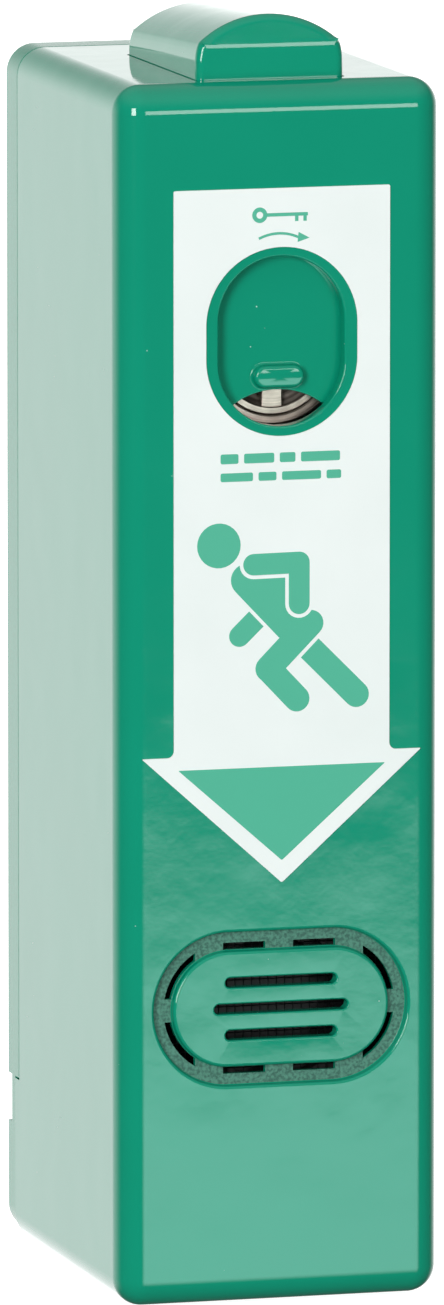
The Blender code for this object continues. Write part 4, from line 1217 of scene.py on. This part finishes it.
def screw_master(name, head, core, length, face):
    """A cross-head screw along Z with its head up. The recess goes down from the head's face."""
    piece = turned(name, threaded(head, core, length), (0, 0), steps=20, axis="Z")
    blades = []
    for wide, deep in ((1.45, 0.24), (0.24, 1.45)):
        blade = block("recess_blade", (-wide, wide), (-deep, deep), (face - 1.3, face + 0.5))
        choose(blade, "FACE", lambda item: item.normal.z < -0.9)
        bpy.ops.transform.resize(value=(0.55, 0.55, 1))
        only(blade)
        blades.append(blade)
    return combine(piece, blades)


# %% Screw sizes and places
FLAT_HEAD = [(2.6, -0.1), (2.85, -0.2), (1.3, -1.65)]
PAN_HEAD = [(1.1, 1.9), (1.9, 1.7), (2.5, 1.2), (2.75, 0.6), (2.75, 0.1), (1.25, 0.1)]
SCREW_CORE = 1.25
TO_FRONT, TO_BACK = (math.radians(90), 0, 0), (math.radians(-90), 0, 0)
UP = (0, 0, 0)
RAIL_FACE = 7.3
SHOE_FACE, UPPER_SHOE, LOWER_SHOE = 9.7, 40.0, -42.5
SOUNDER_BACK, BRACKET_BACK, CAM_BACK, BRIDGE_TOP = 63.6, 60, 15, 88

screw_rows = [
    ("rail_screw_left_1", "flat", 6, TO_FRONT, (-RAIL_X, RAIL_FACE, RAIL_SCREWS[0]), "base"),
    ("rail_screw_left_2", "flat", 6, TO_FRONT, (-RAIL_X, RAIL_FACE, RAIL_SCREWS[1]), "base"),
    ("rail_screw_right_1", "flat", 6, TO_FRONT, (RAIL_X, RAIL_FACE, RAIL_SCREWS[0]), "base"),
    ("rail_screw_right_2", "flat", 6, TO_FRONT, (RAIL_X, RAIL_FACE, RAIL_SCREWS[1]), "base"),
    ("armature_screw", "flat", 6, TO_FRONT, (0, RAIL_FACE, CATCH_Z), "base"),
    ("housing_screw_1", "flat", 15, TO_BACK, (-BOSS_X, RIM_BACK, -BOSS_Z), "guard"),
    ("housing_screw_2", "flat", 15, TO_BACK, (-BOSS_X, RIM_BACK, BOSS_Z), "guard"),
    ("housing_screw_3", "flat", 15, TO_BACK, (BOSS_X, RIM_BACK, -BOSS_Z), "guard"),
    ("housing_screw_4", "flat", 15, TO_BACK, (BOSS_X, RIM_BACK, BOSS_Z), "guard"),
    ("shoe_screw_upper", "pan", 6, TO_FRONT, (0, SHOE_FACE, UPPER_SHOE), "guard"),
    ("shoe_screw_lower", "pan", 6, TO_FRONT, (0, SHOE_FACE, LOWER_SHOE), "guard"),
    ("sounder_screw_1", "pan", 6, TO_BACK, (0, SOUNDER_BACK, outlet_z - SOUNDER_APART), "guard"),
    ("sounder_screw_2", "pan", 6, TO_BACK, (0, SOUNDER_BACK, outlet_z + SOUNDER_APART), "guard"),
    ("bracket_screw_1", "pan", 9.5, TO_BACK, (-BRACKET_X, BRACKET_BACK, lock_z), "guard"),
    ("bracket_screw_2", "pan", 9.5, TO_BACK, (BRACKET_X, BRACKET_BACK, lock_z), "guard"),
    ("cam_screw", "pan", 11, TO_BACK, (0, CAM_BACK, lock_z), "rotor"),
    ("bridge_screw_1", "pan", 8, UP, (-BRIDGE_X, BRIDGE_DEPTH, BRIDGE_TOP), "guard"),
    ("bridge_screw_2", "pan", 8, UP, (BRIDGE_X, BRIDGE_DEPTH, BRIDGE_TOP), "guard"),
]

# %% Screws from their masters
masters = {}
for node, kind, length, turn, place, body_name in screw_rows:
    if (kind, length) not in masters:
        head, face = (FLAT_HEAD, -0.1) if kind == "flat" else (PAN_HEAD, 1.9)
        masters[kind, length] = screw_master(f"{kind}_screw", head, SCREW_CORE, length, face)
    only(masters[kind, length])
    bpy.ops.object.duplicate()
    piece = named_as(bpy.context.object, f"guard_{node}")
    piece.location = spot(*place)
    piece.rotation_euler = turn
    bpy.ops.object.transform_apply(location=True, rotation=True, scale=True)
    finish_piece(piece, zinc_screw, body_name, [node])
for master in masters.values():
    bpy.data.objects.remove(master, do_unlink=True)

# %% [markdown]
# ## Bumper springs
#
# Each spring is one drawn wire wound to a helix. A curve with a bevel could draw it, but a circle of
# wire that a Screw modifier sweeps up the axis gives a mesh at once, with the pitch worked out from
# the spring's height. Two caps close its ends.

# %% Springs
COIL_RADIUS = 3.3
WIRE_RADIUS = 0.45
TURNS = 5

for pin in ("front", "rear"):
    node = f"bumper_spring_{pin}"
    coil_depth, coil_z = box_mm(node)[1:]
    middle_depth = sum(coil_depth) / 2
    bottom, top = coil_z[0] + WIRE_RADIUS, coil_z[1] - WIRE_RADIUS
    only(None)
    bpy.ops.mesh.primitive_circle_add(vertices=10, radius=WIRE_RADIUS * MM, location=(0, 0, 0),
                                      rotation=(math.radians(90), 0, 0))
    coil = named(f"guard_{node}")
    bpy.ops.object.transform_apply(location=True, rotation=True, scale=True)
    for vert in coil.data.vertices:
        vert.co.x += COIL_RADIUS * MM
    helix = coil.modifiers.new("helix", "SCREW")
    helix.axis = "Z"
    helix.angle = 2 * math.pi
    helix.iterations = TURNS
    helix.screw_offset = (top - bottom) * MM / TURNS
    helix.steps = helix.render_steps = 28
    helix.use_merge_vertices = False
    only(coil)
    bpy.ops.object.modifier_apply(modifier=helix.name)
    choose(coil, "EDGE", lambda edge: edge.is_boundary)
    bpy.ops.mesh.edge_face_add()
    face_outwards(coil)
    coil.location = spot(0, middle_depth, bottom)
    bpy.ops.object.transform_apply(location=True, rotation=True, scale=True)
    finish_piece(coil, spring_wire, "guard", [node], angle=60)
    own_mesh(coil)

# %% [markdown]
# ## Finishes on the working parts
#
# The parts inside keep the shape that they have in the frame, because nothing finer of them would be
# seen. Each gets the finish of what it is made of: zinc-plated sheet for rails and brackets, acetal
# where things slide, black nylon for bought-in cases, rubber for the gasket and the end stop.

# %% Finishes on the working parts
working_finishes = [
    (zinc_sheet, ("slide_rail_left", "slide_rail_right", "catch_armature", "lock_bracket", "lock_nut",
                  "cam_lever", "bumper_bridge", "bumper_pin_front", "bumper_pin_rear",
                  "pin_clip_front", "pin_clip_rear")),
    (acetal, ("slide_shoe_upper", "slide_shoe_lower", "release_slide")),
    (black_nylon, ("sounder", "battery_snap", "press_switch")),
    (black_rubber, ("sounder_gasket", "end_stop_buffer")),
    (magnet_plate, ("catch_magnet", "position_magnet", "release_magnet")),
    (board_laminate, ("circuit_board",)),
    (battery_sleeve, ("battery_9v",)),
    (reed_glass, ("reed_switch_key", "reed_switch_slide")),
    (red_pvc, ("battery_lead_red", "sounder_lead_red")),
    (black_pvc, ("battery_lead_black", "sounder_lead_black")),
    (satin_green, ("rear_cover",)),
]
for finish, nodes in working_finishes:
    for node in nodes:
        piece = frame["nodes"][node]
        piece.data.materials.clear()
        piece.data.materials.append(finish)
print(sum(len(nodes) for finish, nodes in working_finishes), "working parts finished")

# %% [markdown]
# ## Floor
#
# The guard is shown as a cut-out on pure white. A white room could be built round it, but a plain
# that gives off its own white light stays even up to the edges. Glossy faces don't see it, so that
# the room alone decides what they mirror.

# %% Floor
only(None)
bpy.ops.mesh.primitive_plane_add(size=40, location=(0, 0, cad_size[0].z - 0.0005))
sweep = named("white_floor")
sweep.visible_glossy = False
sweep.visible_diffuse = False
sweep_finish, tree, shader = new_finish("white_sweep", "#F4F4F2", 0.8)
shader.inputs["Emission Color"].default_value = colour("#FFFFFF")
shader.inputs["Emission Strength"].default_value = 0.9
sweep.data.materials.append(sweep_finish)
print("floor at z =", round(sweep.location.z / MM, 1), "mm")

# %% [markdown]
# ## Soft boxes
#
# Gloss shows its surroundings, so a light on a glossy part is placed by what its faces should
# mirror, and not by the shadows that it throws. A rounded edge sweeps over a wide part of the room
# and shows each light as a thin bright line. The key box stands to the left and draws the upright
# edges. The small strip box stands a little above the front and to its right, where the flat front
# doesn't see it, and marks the bumper, the upper edge and the grip ridge.

# %% Soft boxes
BOX_DISTANCE = 2.5


def soft_box(name, azimuth, elevation, width, height, radiance):
    """A rectangular light. Azimuth 0 is straight in front and grows to the right, in degrees."""
    a, e = math.radians(azimuth), math.radians(elevation)
    away = Vector((math.sin(a) * math.cos(e), -math.cos(a) * math.cos(e), math.sin(e)))
    data = bpy.data.lights.new(name, "AREA")
    data.shape = "RECTANGLE"
    data.size = 2 * BOX_DISTANCE * math.tan(math.radians(width / 2))
    data.size_y = 2 * BOX_DISTANCE * math.tan(math.radians(height / 2))
    data.energy = radiance * math.pi * data.size * data.size_y
    light = bpy.data.objects.new(name, data)
    light.location = LOOK_AT + away * BOX_DISTANCE
    light.rotation_euler = away.to_track_quat("Z", "Y").to_euler()
    light.visible_camera = False
    bpy.context.scene.collection.objects.link(light)
    print(f"{name}: {data.size:.2f} by {data.size_y:.2f} m, {data.energy:.0f} W")


soft_box("key_box", -37, 11, 16, 26, 16.0)
soft_box("strip_box", 16, 6.3, 17, 13.6, 6.6)

# %% [markdown]
# ## Room
#
# The rest of what the gloss mirrors is a dim room with three bright parts. A pale wall stands
# behind the guard, where the left side and the top see it at a grazing angle. The ceiling lights
# the top softly. A pale green-blue card lies low in front, and the lower part of the flat front
# mirrors it, with a soft upper edge. More area lights could stand for these, but then every one
# would throw its own shadows. A world that is worked out from the direction gives edges as soft as
# wanted. The camera itself sees plain white behind the object.

# %% Room
ROOM_LEVEL = 0.12
WALL_LEVEL = 1.7
CEILING_LEVEL = 0.5
CARD_LEVEL = 4.4
CARD_TINT = "#D6FCF8"

world = bpy.data.worlds.new("studio")
world.use_nodes = True
room = world.node_tree
background = room.nodes["Background"]
bpy.context.scene.world = world


def soft_part(*edges):
    """A share that is 1 inside all its edges; each rises smoothly from 0 at none to 1 at full."""
    share = None
    for value, none, full in edges:
        rise = add(room, "MapRange", {"interpolation_type": "SMOOTHSTEP", "From Min": none,
                                      "From Max": full}, {"Value": value}).outputs["Result"]
        if share is None:
            share = rise
        else:
            share = add(room, "Math", {"operation": "MULTIPLY"}, {0: share, 1: rise}).outputs["Value"]
    return share


# %% Where each part of the room is, in degrees
way = add(room, "SeparateXYZ", links={"Vector": add(room, "TexCoord").outputs["Generated"]})
up = add(room, "Math", {"operation": "ARCSINE"}, {0: way.outputs["Z"]})
elevation = add(room, "Math", {"operation": "DEGREES"}, {0: up.outputs["Value"]}).outputs["Value"]
front = add(room, "Math", {"operation": "MULTIPLY", 1: -1.0}, {0: way.outputs["Y"]})
round_about = add(room, "Math", {"operation": "ARCTAN2"},
                  {0: way.outputs["X"], 1: front.outputs["Value"]})
azimuth = add(room, "Math", {"operation": "DEGREES"},
              {0: round_about.outputs["Value"]}).outputs["Value"]
back_wall = soft_part((way.outputs["Y"], 0.1, 0.75), (elevation, -40, -16),
                      (elevation, 30, -4))
ceiling = soft_part((elevation, 15, 60))
card = soft_part((azimuth, -10, 6), (azimuth, 42, 26), (elevation, -34, -13),
                 (elevation, -8.6, -10.2))

# %% Light of the room
light_level = add(room, "Math", {"operation": "MULTIPLY_ADD", 1: WALL_LEVEL, 2: ROOM_LEVEL},
                  {0: back_wall})
for part, level in ((ceiling, CEILING_LEVEL), (card, CARD_LEVEL)):
    light_level = add(room, "Math", {"operation": "MULTIPLY_ADD", 1: level},
                      {0: part, 2: light_level.outputs["Value"]})
seen = add(room, "LightPath").outputs["Is Camera Ray"]
strength = add(room, "Mix", {"data_type": "FLOAT", "B": 1.0},
               {"Factor": seen, "A": light_level.outputs["Value"]})
room.links.new(strength.outputs["Result"], background.inputs["Strength"])
paper = add(room, "MixRGB", {"Color1": colour("#FFFFFF"), "Color2": colour(CARD_TINT)}, {"Fac": card})
room.links.new(paper.outputs["Color"], background.inputs["Color"])
print(len(room.nodes), "nodes in the room")
bpy.context.scene.view_settings.view_transform = "Standard"
